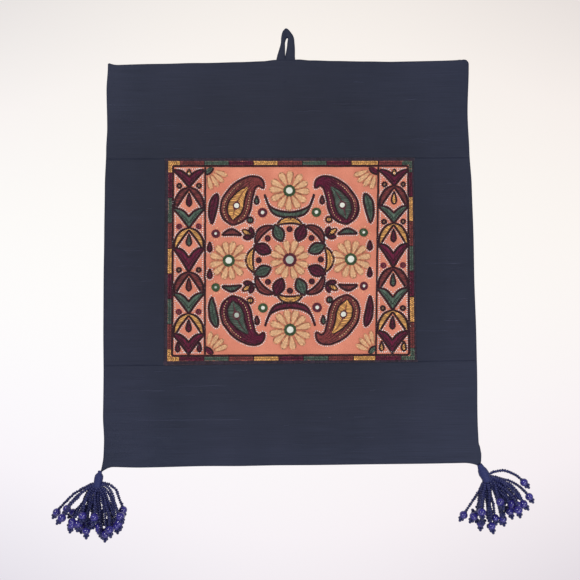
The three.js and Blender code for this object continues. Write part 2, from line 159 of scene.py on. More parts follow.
# Embroidery. The work sits a little askew: it leans, its right side hangs lower (at the foot and at the top
# by different amounts), and it is drawn together by a little
FACE = -CLOTH_THICK / 2
WORK_LEAN = 0.6
WORK_DROP = (0.9, 1.45)
WORK_SHRINK = 0.3
BLOCK_EDGE = (123.4, 100.8)
BLOCK_WIDTH = 4.7
SIDE_BLOCK_WIDTH = 4.4
BLOCK_CORNER = 12
LINE_GAP = 0.7
BAND_LEAN = 2.7
LEAN_FROM = 68
LEAN_FADE = 18
LEAN_RIM = 1.5
FIELD_TOP = 94.1
TOP_BLOCKS = "rust green maroon mustard rust green maroon mustard rust".split()
BOTTOM_BLOCKS = "maroon green rust mustard maroon green rust mustard maroon".split()
LEFT_BLOCKS = "maroon green rust mustard maroon green rust".split()
RIGHT_BLOCKS = "maroon mustard rust green maroon mustard rust".split()
BAND_ORDER = (("vee", "maroon"), ("arcs", "rust"), ("vee", "green"), ("arcs", "mustard"), ("vee", "maroon"),
              ("arcs", "rust"), ("vee", "green"), ("arcs", "mustard"), ("vee", "maroon"))
BANDS = {
    -1: dict(middle=-100.9, half=14.9, inner=-84.7, outer=-122.2,
             drops=("maroon", "green", "rust", "maroon"),
             levels=(91.3, 74.0, 52.5, 33.0, 13.0, -11.0, -32.5, -53.0, -73.5, -94.0)),
    1: dict(middle=103.5, half=14.7, inner=87.4, outer=123.9,
            drops=("mustard", "maroon", "green", "maroon"),
            levels=(91.3, 75.0, 54.0, 36.5, 15.0, -8.5, -29.5, -51.0, -72.0, -93.5)),
}

# Stitches. A filling has its pitch and width, how far its stitches slant, and two ranges of tones: its
# underlay's, dark as painted shade between the stitches, and its stitches' own
STITCH_RELIEF = 1.6
CHAIN = dict(pitch=1.9, width=2.25, height=0.9, lift=0.35, shake=0.09)
DOTS = dict(pitch=2.2, length=1.2, width=1.25, height=0.85, lift=0.15, gap=1.85, shake=0.07)
RIM = dict(inset=0.7, past=0.5, pitch=1.3, width=1.7, height=0.6, lift=0.1)
DROP_EDGE = 1.9
MIRROR_PITCH = 0.85
COLUMN_WIDTH = 4.4
FILL_HEIGHT = 0.9
FILL_SHAKE = 0.1
FILL = dict(pitch=1.7, width=1.2, lag=2.6, under=(0.0, 0.1), tones=(0.3, 1.0))
FINE = dict(pitch=1.15, width=1.15, lag=1.0, under=(0.35, 0.5), tones=(0.55, 0.85))
UNDERLAY = dict(pitch=1.6, width=2.4, height=0.2)
ECHO_CLEAR = 0.86
ECHO_BREAK = 3.0
CORE_LIFT = 0.5
SIDES = (-1, 1)
CORNERS = [(side, end) for side in SIDES for end in SIDES]

# Thread colours as red, green and blue of a screen, 0 to 255
THREADS = dict(
    navy=(40, 8, 20), maroon=(88, 15, 46), rust=(116, 52, 52), green=(74, 92, 80),
    # The rim's colour is partly a real dark edge and partly painted shade of the seam
    moss=(56, 76, 48), dusk=(42, 32, 46), wine=(84, 30, 44), mustard=(216, 158, 92),
    tan=(222, 172, 132), bronze=(182, 120, 90), pink=(255, 240, 243),
)

# Painted light: the silk is painted darker in its middle, which has this height, and lighter outward from
# it at this rate for each metre
PAINTED_LIGHT_MIDDLE_M = -0.2
PAINTED_LIGHT_SCALE = 3.7


def srgb(red, green, blue):
    """A linear colour from the red, green and blue of a screen, 0 to 255."""
    shares = [c / 255 for c in (red, green, blue)]
    return tuple(c / 12.92 if c <= 0.04045 else ((c + 0.055) / 1.055) ** 2.4 for c in shares)


def smooth(t):
    t = min(max(t, 0.0), 1.0)
    return t * t * (3 - 2 * t)


def read_table(rows, at):
    """The second column of a table at a place along the first, eased from row to row."""
    if at <= rows[0][0]:
        return rows[0][1]
    for (a, low), (b, high) in zip(rows, rows[1:]):
        if at < b:
            return low + (high - low) * smooth((at - a) / (b - a))
    return rows[-1][1]


def upper_seam(x):
    return UPPER_SEAM[0] + UPPER_SEAM[1] * x


def lower_seam(x):
    return LOWER_SEAM[0] + LOWER_SEAM[1] * x


# Materials

def feed(tree, socket, value):
    """Links a socket to an input, or sets the input to a value."""
    if isinstance(value, bpy.types.NodeSocket):
        tree.links.new(value, socket)
    else:
        socket.default_value = value


def node(tree, kind, **settings):
    """A shader node with its settings, and its inputs given by name with spaces as underscores."""
    made = tree.nodes.new(kind)
    for key, value in settings.items():
        if hasattr(made, key):
            setattr(made, key, value)
        else:
            feed(tree, made.inputs[key.replace("_", " ")], value)
    return made


def calculated(tree, operation, *values):
    """The result of a calculation with sockets and numbers."""
    made = node(tree, "ShaderNodeMath", operation=operation)
    for socket, value in zip(made.inputs, values):
        feed(tree, socket, value)
    return made.outputs[0]


def multiplied(tree, first, *others):
    """Colours multiplied together."""
    for other in others:
        made = node(tree, "ShaderNodeMix", data_type="RGBA", blend_type="MULTIPLY")
        for name, value in (("Factor", 1.0), ("A", first), ("B", other)):
            feed(tree, next(s for s in made.inputs if s.name == name and s.enabled), value)
        first = next(s for s in made.outputs if s.enabled)
    return first


def scaled(colour, share):
    return tuple(share * c for c in colour)


def own_place(tree):
    """The object's own coordinates, in metres."""
    return node(tree, "ShaderNodeTexCoord").outputs["Object"]


def stretched_noise(tree, scale, detail):
    """Noise at its own scale along each axis."""
    place = node(tree, "ShaderNodeMapping", Vector=own_place(tree), Scale=scale).outputs["Vector"]
    made = node(tree, "ShaderNodeTexNoise", Vector=place, Scale=1.0, Detail=detail, Roughness=0.6)
    return made.outputs["Fac"]


def weave(tree, *pair):
    """A plain weave: the pitch in metres and the wobble of its warp and of its weft."""
    waves = [
        node(tree, "ShaderNodeTexWave", bands_direction=way, Vector=own_place(tree),
             Scale=2 * math.pi / (20 * pitch), Distortion=wobble, Detail=1.0).outputs["Fac"]
        for way, (pitch, wobble) in zip("XZ", pair)]
    return calculated(tree, "ADD", *waves)


def ramp(tree, source, *stops):
    """Colours by value: stops are (place, colour)."""
    made = node(tree, "ShaderNodeValToRGB", Fac=source)
    line = made.color_ramp
    while len(line.elements) < len(stops):
        line.elements.new(0.5)
    for element, (place, colour) in zip(line.elements, stops):
        element.position = place
        element.color = (*colour, 1)
    return made.outputs["Color"]


def new_material(name, **inputs):
    material = bpy.data.materials.new(name)
    material.use_nodes = True
    tree = material.node_tree
    shader = tree.nodes["Principled BSDF"]
    for key, value in inputs.items():
        shader.inputs[key.replace("_", " ")].default_value = value
    return material, tree, shader


def dress(tree, shader, colour, height, strength, distance_m):
    """Gives a shader its colour and its fine relief."""
    relief = node(tree, "ShaderNodeBump", Height=height, Strength=strength, Distance=distance_m)
    tree.links.new(colour, shader.inputs["Base Color"])
    tree.links.new(relief.outputs["Normal"], shader.inputs["Normal"])


def outward_share(tree):
    """How far out from the middle of the cloth a place lies: 0 there, near 1 at the corners; the silk's
    painted light follows it.
    """
    place = node(tree, "ShaderNodeMapping", Vector=own_place(tree), Scale=(PAINTED_LIGHT_SCALE, 0.0, PAINTED_LIGHT_SCALE),
                 Location=(0, 0, -PAINTED_LIGHT_MIDDLE_M * PAINTED_LIGHT_SCALE)).outputs["Vector"]
    length = node(tree, "ShaderNodeVectorMath", operation="LENGTH")
    tree.links.new(place, length.inputs[0])
    return length.outputs["Value"]


def silk_material(name, dark, light):
    """Raw silk: slubs along X over a fine plain weave, with a soft cross sheen, and painted light that is
    darker in the middle of the cloth and lighter outward.
    """
    material, tree, shader = new_material(
        name, Roughness=0.6, Sheen_Weight=0.08, Sheen_Roughness=0.4,
        Sheen_Tint=(0.55, 0.65, 1.0, 1), Specular_IOR_Level=0.22)
    slubs = stretched_noise(tree, (22, 22, 1500), 4)
    broad = stretched_noise(tree, (7, 7, 90), 2)
    patches = stretched_noise(tree, (11, 11, 5), 2)
    colour = multiplied(
        tree,
        ramp(tree, slubs, (0.30, dark), (0.62, light), (0.80, scaled(light, 1.2))),
        ramp(tree, broad, (0.3, (0.92, 0.92, 0.94)), (0.7, (1.06, 1.06, 1.05))),
        ramp(tree, patches, (0.3, (0.80, 0.86, 0.88)), (0.7, (1.16, 1.12, 1.10))),
        # painted light: the cloth darker in its middle and lighter towards its corners and its bottom
        ramp(tree, outward_share(tree), (0.5, (0.72, 0.73, 0.75)), (0.95, (1.2, 1.2, 1.22))))
    height = calculated(tree, "MULTIPLY_ADD", slubs, 2.6, weave(tree, (0.00042, 1.2), (0.00055, 1.6)))
    dress(tree, shader, colour, height, 0.45, 0.00012)
    return material


def ground_material():
    """Coral cotton in a plain weave, a little faded and pinker in patches."""
    material, tree, shader = new_material(
        "coral_ground", Roughness=0.85, Sheen_Weight=0.1, Sheen_Roughness=0.5, Specular_IOR_Level=0.2)
    patches = stretched_noise(tree, (30, 30, 30), 3)
    flecks = stretched_noise(tree, (1400, 1400, 1400), 2)
    colour = multiplied(
        tree, ramp(tree, patches, (0.3, srgb(192, 114, 92)), (0.7, srgb(210, 134, 110))),
        ramp(tree, flecks, (0.3, (0.78, 0.76, 0.76)), (0.7, (1.16, 1.18, 1.20))))
    dress(tree, shader, colour, weave(tree, (0.0006, 0.8), (0.0006, 0.8)), 0.5, 0.00014)
    return material


def thread_material(name, colour, sheen=0.12, roughness=0.6):
    """Embroidery thread: each stitch has its own tone, the underlays' dark tones being painted shade
    between stitches, and its ply shows as fine slanting ridges.
    """
    material, tree, shader = new_material(
        name, Roughness=roughness, Sheen_Weight=sheen, Sheen_Roughness=0.35, Specular_IOR_Level=0.22)
    tone = node(tree, "ShaderNodeAttribute", attribute_name="tone").outputs["Fac"]
    high = tuple(min(1.5 * c, 0.95) for c in colour)
    # The underlays' low tones are painted shade that darkens the gaps between stitches; the stitches' own
    # tones differ at random.
    tone_and_shade = ramp(tree, tone, (0.0, scaled(colour, 0.22)), (0.3, scaled(colour, 0.62)), (1.0, high))
    ply = node(tree, "ShaderNodeAttribute", attribute_name="ply").outputs["Vector"]
    twist = node(tree, "ShaderNodeTexWave", bands_direction="DIAGONAL", Vector=ply, Scale=1.0,
                 Distortion=1.5)
    dress(tree, shader, tone_and_shade, twist.outputs["Fac"], 0.4, 0.0001)
    return material


def mirror_material(name, colour, roughness):
    """Silvered glass with the slight waves and specks of thin hand-cut mirror."""
    material, tree, shader = new_material(
        name, Metallic=0.4, Roughness=roughness, Coat_Weight=0.6, Coat_Roughness=0.04)
    specks = stretched_noise(tree, (900, 900, 900), 4)
    clouded = ramp(tree, specks, (0.35, scaled(colour, 0.78)), (0.6, colour))
    dress(tree, shader, clouded, stretched_noise(tree, (160, 160, 160), 1), 0.05, 0.0003)
    return material


def glass_material(name, colour, glint, roughness, shine):
    """Opaque pressed glass for beads, with faint streaks in its colour."""
    material, tree, shader = new_material(
        name, Roughness=roughness, Coat_Weight=shine, Coat_Roughness=0.05, Specular_IOR_Level=0.2 + shine)
    streaks = ramp(tree, stretched_noise(tree, (260, 260, 700), 3), (0.32, colour), (0.72, glint))
    dress(tree, shader, streaks, stretched_noise(tree, (500, 500, 500), 2), 0.1, 0.0002)
    return material


silk = silk_material("silk", srgb(25, 30, 47), srgb(33, 38, 56))
slub_silk = silk_material("slub_silk", srgb(38, 42, 60), srgb(52, 56, 76))
ground = ground_material()
threads = {name: thread_material(f"thread_{name}", srgb(*colour)) for name, colour in THREADS.items()}
head_thread = thread_material("thread_royal", srgb(40, 47, 96), 0.15, 0.5)
mirror_clear = mirror_material("mirror_clear", (0.94, 0.96, 0.85), 0.12)
mirror_dull = mirror_material("mirror_dull", (0.52, 0.58, 0.50), 0.2)
cobalt = glass_material("cobalt_glass", srgb(32, 25, 92), srgb(52, 46, 138), 0.16, 0.3)
midnight = glass_material("midnight_glass", srgb(31, 34, 70), srgb(44, 48, 98), 0.35, 0.05)


# Meshes

def add_object(name, data):
    made = bpy.data.objects.new(name, data)
    bpy.context.scene.collection.objects.link(made)
    return made


def make_piece(name, points, faces, material, slot, attributes=None):
    """A smooth mesh from points in millimetres and faces of one size, riding on the root."""
    points = np.asarray(points, np.float32).reshape(-1, 3) * MM
    faces = np.asarray(faces, np.int32)
    size = faces.shape[1]
    mesh = bpy.data.meshes.new(name)
    mesh.vertices.add(len(points))
    mesh.vertices.foreach_set("co", points.ravel())
    mesh.loops.add(faces.size)
    mesh.loops.foreach_set("vertex_index", faces.ravel())
    mesh.polygons.add(len(faces))
    mesh.polygons.foreach_set("loop_start", np.arange(0, faces.size, size, dtype=np.int32))
    mesh.polygons.foreach_set("loop_total", np.full(len(faces), size, np.int32))
    mesh.update(calc_edges=True)
    mesh.validate()
    mesh.shade_smooth()
    for key, values in (attributes or {}).items():
        kind, field_name = ("FLOAT_VECTOR", "vector") if values.ndim == 2 else ("FLOAT", "value")
        made = mesh.attributes.new(key, kind, "POINT")
        made.data.foreach_set(field_name, values.astype(np.float32).ravel())
    mesh.materials.append(material)
    piece = add_object(name, mesh)
    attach(piece, "root")
    return piece


def joined(parts):
    """Several pairs of points and faces as one pair."""
    points, faces, count = [], [], 0
    for some, corners in parts:
        points.append(some)
        faces.append(corners + count)
        count += len(some)
    return np.concatenate(points), np.concatenate(faces)


def tube(rings, sides, capped=True, flipped=False):
    """Quads between rings of points and, if it is capped, across the first and the last ring."""
    faces = []
    for j in range(rings - 1):
        for i in range(sides):
            n = (i + 1) % sides
            faces.append((j * sides + i, j * sides + n, (j + 1) * sides + n, (j + 1) * sides + i))
    last = (rings - 1) * sides
    for i in range(1, sides // 2 if capped else 0):
        a, b, c, d = i - 1, i, sides - i - 1, sides - i
        faces.append((a, d, c, b))
        faces.append((last + a, last + b, last + c, last + d))
    faces = np.array(faces)
    return faces[:, [0, 3, 2, 1]] if flipped else faces


def closed_grid(front, back):
    """Points and quads of a front and a back grid joined round the rim, front facing -Y."""
    rows, columns = front.shape[:2]
    points = np.concatenate([front.reshape(-1, 3), back.reshape(-1, 3)])
    index = np.arange(rows * columns).reshape(rows, columns)
    a, b, c, d = index[:-1, :-1], index[:-1, 1:], index[1:, 1:], index[1:, :-1]
    face = np.stack([a, b, c, d], -1).reshape(-1, 4)
    behind = rows * columns
    rim = np.concatenate([index[0, :-1], index[:-1, -1], index[-1, :0:-1], index[:0:-1, 0]])
    following = np.roll(rim, -1)
    wall = np.stack([rim, rim + behind, following + behind, following], -1)
    return points, np.concatenate([face, face[:, ::-1] + behind, wall])


# Silk strips and the panel's ground

def grid_lines(length, first, last):
    """Lines of a grid as shares of its length, closer together at both edges."""
    start = first["steps"][-1]
    end = length - last["steps"][-1]
    count = max(1, round((end - start) / FINE_CELL))
    middle = [start + (end - start) * i / count for i in range(1, count)]
    return [d / length for d in (*first["steps"], *middle, *(length - s for s in reversed(last["steps"])))]


def thickness_share(edge, distance):
    near = 1 - min(distance / edge["round"], 1)
    rim = edge["share"] + (1 - edge["share"]) * math.sqrt(1 - near * near)
    return rim + edge["puff"] * math.exp(-(((distance - edge["puff_at"]) / edge["puff_width"]) ** 2))


def lean(x, z):
    """Place in Y of the cloth's middle, forward of the wall towards the corners and ends."""
    up = z - PANEL_MIDDLE[1]
    across = smooth((abs(x) - LEAN_START[0]) / LEAN_RUN[0])
    along = smooth((abs(up) - LEAN_START[1]) / LEAN_RUN[1])
    side, end = (1 if x >= 0 else -1), (1 if up >= 0 else -1)
    wave = WAVES[end]
    crest = 0.5 + 0.5 * math.sin(2 * math.pi * x / wave["length"] + wave["phase"])
    return -(CORNER_LEAN[side, end] * across * along + wave["forward"] * crest * along)


def pulled(x, z):
    """A place on the cloth after its corners are drawn out."""
    px, pz = x, z
    for ex, ez, pull_x, pull_z, reach in EARS:
        share = max(1 - math.hypot(x - ex, z - ez) / reach, 0)
        px += pull_x * share * share
        pz += pull_z * share * share
    return px, pz


def crease_height(x, z):
    """Sum of the soft troughs and ridges at a point."""
    total = 0.0
    for (ax, az), (bx, bz), width, height in CREASES:
        run = math.hypot(bx - ax, bz - az)
        along = ((x - ax) * (bx - ax) + (z - az) * (bz - az)) / (run * run)
        past = min(along, 1 - along) + CREASE_FADE
        if past > 0:
            wander = CREASE_WANDER * math.sin(6 * along + ax)
            off = ((x - ax) * (bz - az) - (z - az) * (bx - ax)) / run + wander
            fade = smooth(past / (2 * CREASE_FADE))
            total += height * fade * math.exp(-((off / width) ** 2))
    return total


def puckers(distance, place, seed):
    """Small gathers that the stitching draws up beside an edge or seam."""
    fade = math.exp(-((distance - PUCKER["at"]) / PUCKER["width"]) ** 2)
    return PUCKER["height"] * fade * noise.noise(Vector((place * PUCKER["pitch"], seed, 0.0)))


def tack_depth(x, z):
    """Dimple where the loop's foot is tacked down."""
    away = math.hypot(x - TACK["at"][0], z - TACK["at"][1]) / TACK["radius"]
    return -TACK["depth"] * math.exp(-(away ** 2) * TACK["fall"])


def cloth_piece(name, left, right, low, high, edges, soft):
    """A thin closed sheet between four edges, with hems, seams, puckers and creases on its face."""
    width = right(PANEL_MIDDLE[1]) - left(PANEL_MIDDLE[1])
    height = high(0) - low(0)
    columns = grid_lines(width, *edges[:2])
    rows = grid_lines(height, *edges[2:])
    front = np.zeros((len(rows), len(columns), 3))
    back = np.zeros_like(front)
    for j, v in enumerate(rows):
        for i, u in enumerate(columns):
            x = left(0) + (right(0) - left(0)) * u
            for _ in range(4):
                z = low(x) + (high(x) - low(x)) * v
                x = left(z) + (right(z) - left(z)) * u
            gaps = (u * width, (1 - u) * width, v * height, (1 - v) * height)
            half = CLOTH_THICK / 2 * min(map(thickness_share, edges, gaps))
            rise = puckers(min(gaps[:2]), z, 1.7) + puckers(min(gaps[2:]), x, 5.3)
            if soft:
                rise += crease_height(x, z) + tack_depth(x, z)
                rise += 0.25 * noise.noise(Vector((x * 0.02, z * 0.03, 9.0)))
            rise *= smooth(min(gaps) / 1.5)
            px, pz = pulled(x, z)
            middle = lean(x, z)
            front[j, i] = px, middle - half - rise, pz
            back[j, i] = px, middle + half - 0.3 * rise, pz
    material, slot = (silk, "silk") if soft else (ground, "embroidery")
    return make_piece(name, *closed_grid(front, back), material, slot)


def edge_line(table, shift=0.0):
    return lambda at: read_table(table, at) + shift


def make_cloth():
    """The four strips and the panel, each in place of its solid; edges are left, right, low and high."""
    left, right, bottom, top = map(edge_line, (LEFT_EDGE, RIGHT_EDGE, BOTTOM_EDGE, TOP_EDGE))
    sheets = (
        ("top_strip", "silk_top", left, right, lambda x: upper_seam(x) + SEAM_GAP, top,
         (HEM, HEM, SEAM, HEM)),
        ("bottom_strip", "silk_bottom", left, right, bottom, lambda x: lower_seam(x) - SEAM_GAP,
         (HEM, HEM, HEM, SEAM)),
        ("left_strip", "silk_left", left, edge_line(PANEL_LEFT, -SEAM_GAP), lower_seam, upper_seam,
         (HEM, SEAM, SEAM, SEAM)),
        ("right_strip", "silk_right", edge_line(PANEL_RIGHT, SEAM_GAP), right, lower_seam, upper_seam,
         (SEAM, HEM, SEAM, SEAM)),
        ("embroidered_panel", "panel_ground", edge_line(PANEL_LEFT), edge_line(PANEL_RIGHT), lower_seam,
         upper_seam, (SEAM, SEAM, SEAM, SEAM)),
    )
    made = {}
    for name, *settings in sheets:
        made[name] = cloth_piece(*settings, soft=name.endswith("strip"))
        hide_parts(name)
    return made


# Stitches

def strand_template(line, radius, sides):
    """A thread along a line of (along, across, height), pointed at both ends: points and triangles."""
    line = np.array(line, float)
    points = [line[0]]
    for place, share in zip(line[1:-1], radius):
        for k in range(sides):
            angle = math.pi * k / (sides - 1)
            points.append(place + (0, math.cos(angle) * share, math.sin(angle) * share))
    points.append(line[-1])
    rings = len(line) - 2
    last = len(points) - 1
    faces = []
    for k in range(sides):
        n = (k + 1) % sides
        faces.append((0, 1 + k, 1 + n))
        end = 1 + (rings - 1) * sides
        faces.append((last, end + n, end + k))
        for r in range(rings - 1):
            a, b = 1 + r * sides + k, 1 + r * sides + n
            faces.append((a, a + sides, b))
            faces.append((b, a + sides, b + sides))
    return np.array(points), np.array(faces)


def link_side(way):
    line = ((-0.16, 0, 0), (0.14, 0.22 * way, 0.12), (0.55, 0.27 * way, 0.2), (0.96, 0.16 * way, 0.12),
            (1.16, 0.02 * way, 0))
    return strand_template(line, (0.24, 0.27, 0.24), 4)


TEMPLATES = {
    "grain": strand_template(((0, 0, -0.2), (0.16, 0, 0), (0.5, 0, 0.16), (0.84, 0, 0), (1, 0, -0.2)),
                             (0.38, 0.5, 0.38), 4),
    "dot": strand_template(((0, 0, -0.2), (0.2, 0, 0), (0.8, 0, 0), (1, 0, -0.2)), (0.46, 0.46), 4),
    "link": joined((link_side(1), link_side(-1))),
}
MIDWAYS = np.linspace(0.1, 0.9, 9)
# Sewn so far: stitches by kind and colour, closed forms, and the forms to have running stitch round them
stitches = {}
dark_forms = []
echoes = []


def sew(kind, colour, starts, ends, width, height, lift=0.0, end_lift=None, tones=(0.3, 1.0)):
    """Adds stitches between pairs of panel places; lift is the height that each starts from."""
    if len(starts) == 0:
        return
    row = np.zeros((len(starts), 9))
    row[:, 0:2], row[:, 3:5] = starts, ends
    row[:, 2], row[:, 5] = lift, lift if end_lift is None else end_lift
    row[:, 6], row[:, 7] = width, height
    row[:, 8] = [rng.uniform(*tones) for _ in starts]
    stitches.setdefault((kind, colour), []).append(row)


def skew(right, up):
    """How far the work stands above its true place, since it sits a little askew."""
    share = up / BLOCK_EDGE[1]
    turn = np.where(up > 0, WORK_DROP[1], WORK_DROP[0]) * right / BLOCK_EDGE[0] * np.abs(share)
    return -turn - WORK_SHRINK * share


def band_lean(right, up):
    """How far the right band leans out at its top and in at its foot."""
    rising = np.clip((right - LEAN_FROM) / (BANDS[1]["inner"] - LEAN_FROM), 0, 1)
    falling = np.clip((BANDS[1]["outer"] + LEAN_RIM - right) / LEAN_FADE, 0, 1)
    return BAND_LEAN * rising * falling * up / BLOCK_EDGE[1]


def panel_points(right, up, rise):
    """Panel places as points in the row frame."""
    x = PANEL_MIDDLE[0] + right + WORK_LEAN * up / BLOCK_EDGE[1] + band_lean(right, up)
    return np.stack([x, FACE - rise, PANEL_MIDDLE[1] + up + skew(right, up)], -1)


def stitch_mesh(kind, rows):
    """All stitches of one kind and colour as points, triangles and their two attributes."""
    template, triangles = TEMPLATES[kind]
    ahead, aside, above = template.T[:, None]
    run = rows[:, None, 3:6] - rows[:, None, 0:3]
    length = np.hypot(run[..., 0], run[..., 1]) + 1e-6
    side = aside * rows[:, None, 6]
    place = rows[:, None, 0:3] + run * template[None, :, 0:1]
    right = place[..., 0] - run[..., 1] / length * side
    up = place[..., 1] + run[..., 0] / length * side
    rise = place[..., 2] + above * rows[:, None, 7] * STITCH_RELIEF
    points = panel_points(right, up, rise).reshape(-1, 3)
    faces = (triangles[None] + (np.arange(len(rows)) * len(template))[:, None, None]).reshape(-1, 3)
    ply = np.stack(np.broadcast_arrays(ahead * length, aside, 0.0), -1).reshape(-1, 3)
    return points, faces, dict(tone=np.repeat(rows[:, 8], len(template)), ply=ply)


def make_stitches(prefix):
    """Turns what has been sewn so far into one piece for each kind and colour."""
    made = []
    for (kind, colour), groups in sorted(stitches.items()):
        points, faces, looks = stitch_mesh(kind, np.concatenate(groups))
        made.append(make_piece(
            f"{prefix}_{kind}_{colour}", points, faces, threads[colour], "embroidery", looks))
    stitches.clear()
    return made


def curve(points, samples=24):
    """A smooth run of panel places through a few points."""
    p = np.asarray(points, float)
    if len(p) == 2:
        return p[0] + (p[1] - p[0]) * np.linspace(0, 1, samples)[:, None]
    ends = np.concatenate([[2 * p[0] - p[1]], p, [2 * p[-1] - p[-2]]])
    t = np.linspace(0, len(p) - 1, samples)
    i = np.minimum(t.astype(int), len(p) - 2)
    f = (t - i)[:, None]
    a, b, c, d = ends[i], ends[i + 1], ends[i + 2], ends[i + 3]
    bend, twist = 2 * a - 5 * b + 4 * c - d, 3 * b - a - 3 * c + d
    return 0.5 * (2 * b + (c - a) * f + bend * f ** 2 + twist * f ** 3)


def reach_along(path):
    """Distance along a path at each of its points."""
    return np.concatenate([[0], np.cumsum(np.linalg.norm(np.diff(path, axis=0), axis=1))])


def read_path(at, places, path):
    """Points of a path, whose own points lie at these places along it."""
    return np.stack([np.interp(at, places, column) for column in path.T], -1)


def share_of(path, at):
    return read_path(at, np.linspace(0, 1, len(path)), path)


def between(first, second, at, share):
    return share_of(first, at) * (1 - share) + share_of(second, at) * share


def spaced(path, pitch, closed=False):
    """Places at an even pitch on a path."""
    if closed:
        path = np.concatenate([path, path[:1]])
    reach = reach_along(path)
    return read_path(np.linspace(0, reach[-1], max(2, round(reach[-1] / pitch) + 1)), reach, path)


def normals(path):
    """Unit steps to the left of a path."""
    way = np.gradient(path, axis=0)
    way /= np.hypot(way[:, 0], way[:, 1])[:, None] + 1e-9
    return np.stack([-way[:, 1], way[:, 0]], -1)


def around(count, start=0.0, end=2 * math.pi, closed=False):
    """Unit steps out from a middle, from one angle to another."""
    angle = np.linspace(start, end, count, endpoint=closed)
    return np.stack([np.cos(angle), np.sin(angle)], -1)


def jitter(places, amount):
    shake = [(rng.gauss(0, amount), rng.gauss(0, amount)) for _ in places]
    return places + np.array(shake).reshape(-1, 2)


def chain(path, colour="navy", closed=False, width=CHAIN["width"], lift=CHAIN["lift"]):
    """Chain stitch along a path."""
    places = jitter(spaced(path, CHAIN["pitch"], closed), CHAIN["shake"])
    if closed:
        places[-1] = places[0]
    sew("link", colour, places[:-1], places[1:], width, CHAIN["height"], lift)


def inside(outline, place):
    """True if a place is inside a closed form."""
    x, y = outline.T
    nx, ny = np.roll(x, -1), np.roll(y, -1)
    crosses = (y > place[1]) != (ny > place[1])
    reach = (nx - x) * (place[1] - y) / np.where(ny == y, 1e-9, ny - y) + x
    return bool(np.count_nonzero(crosses & (place[0] < reach)) % 2)


def dots(path, side=0, clear=()):
    """Running stitch along a path or to one side of it, left out where it would cross another form."""
    places = spaced(path + side * DOTS["gap"] * normals(path), DOTS["pitch"])
    run = places[1:] - places[:-1]
    length = np.hypot(run[:, 0], run[:, 1])[:, None] + 1e-9
    middle = (places[1:] + places[:-1]) / 2
    half = run / length * DOTS["length"] / 2
    keep = np.array([all(not inside(outline, m) for outline in clear) for m in middle], bool)
    middle, half = jitter(middle[keep], DOTS["shake"]), half[keep]
    sew("dot", "pink", middle - half, middle + half, DOTS["width"], DOTS["height"],
        DOTS["lift"])


def fill(first, second, colour, columns=None, lag=None, style=FILL, lift=0.0):
    """Columns of slanting stitches between two edges, slanted this way and that, over an underlay."""
    length = max(reach_along(first)[-1], reach_along(second)[-1], 1e-6)
    gap = np.max(np.hypot(*(share_of(first, MIDWAYS) - share_of(second, MIDWAYS)).T))
    columns = columns or max(1, round(gap / COLUMN_WIDTH))
    slant = (style["lag"] if lag is None else lag) / length

    def lay(start, end, low, high, shortest):
        a, b = between(first, second, start, low), between(first, second, end, high)
        keep = np.hypot(*(a - b).T) > shortest
        return a[keep], b[keep]

    # The underlay, toned dark as painted shade in the gaps between the stitches
    at = np.linspace(0, 1, max(2, round(length / UNDERLAY["pitch"])))
    sew("grain", colour, *lay(at, at, 0, 1, 0.7), UNDERLAY["width"], UNDERLAY["height"], lift,
        tones=style["under"])
    at = np.linspace(0, 1, max(2, round(length / style["pitch"])))
    for k in range(columns):
        shift = (slant if k % 2 == 0 else -slant) / 2
        start, end = np.clip(at - shift, 0, 1), np.clip(at + shift, 0, 1)
        a, b = lay(start, end, k / columns, (k + 1) / columns, 0.5)
        sew("grain", colour, jitter(a, FILL_SHAKE), jitter(b, FILL_SHAKE), style["width"], FILL_HEIGHT,
            lift, tones=style["tones"])


def form(spine, widths, samples=26):
    """The two edges of a form from its spine and half widths, (share along, half width)."""
    middle = curve(spine, samples)
    half = np.interp(np.linspace(0, 1, samples), *zip(*widths))
    half = np.convolve(np.pad(half, 1, mode="edge"), (0.25, 0.5, 0.25), "valid")
    half[0], half[-1] = widths[0][1], widths[-1][1]
    step = normals(middle) * half[:, None]
    return middle + step, middle - step


def outline_of(edges):
    return np.concatenate([edges[0], edges[1][::-1]])


def motif(edges, colour, echo=True, width=CHAIN["width"]):
    """A filled form with its chain outline and, outside that, its running stitch."""
    fill(*edges, colour)
    outline = outline_of(edges)
    chain(outline, closed=True, width=width)
    dark_forms.append(outline)
    if echo:
        echoes.append(outline)


def sew_echoes():
    """Running stitch round every form that asked for it, kept out of the others."""
    for outline in echoes:
        following = np.roll(outline, -1, axis=0)
        area = np.sum(outline[:, 0] * following[:, 1] - following[:, 0] * outline[:, 1])
        loop = spaced(outline, 1.0, closed=True)
        moved = loop + (-1 if area > 0 else 1) * DOTS["gap"] * normals(loop)
        spread = np.array([np.min(np.hypot(*(loop - m).T)) for m in moved])
        run = moved[spread > ECHO_CLEAR * DOTS["gap"]]
        if len(run) < 3:
            continue
        breaks = np.flatnonzero(np.hypot(*np.diff(run, axis=0).T) > ECHO_BREAK) + 1
        for part in np.split(run, breaks):
            if len(part) > 2:
                dots(part, clear=dark_forms)
    echoes.clear()


def disc(centre, radius, colour):
    """A small solid round, worked across."""
    half = radius * around(9, 0.12, math.pi - 0.12, True)
    fill(centre + half, centre + half * (1, -1), colour, columns=1, lag=0.3)


def ring(centre, radius, colour, width=CHAIN["width"], lift=CHAIN["lift"]):
    chain(centre + radius * around(20), colour, True, width, lift)


def looped_petal(spine, widths, samples):
    """A pale filled lobe in a loop of darker thread."""
    edges = form(spine, widths, samples)
    fill(*edges, "tan", columns=2, style=FINE)
    chain(outline_of(edges), "bronze", True, 1.0, 0.25)


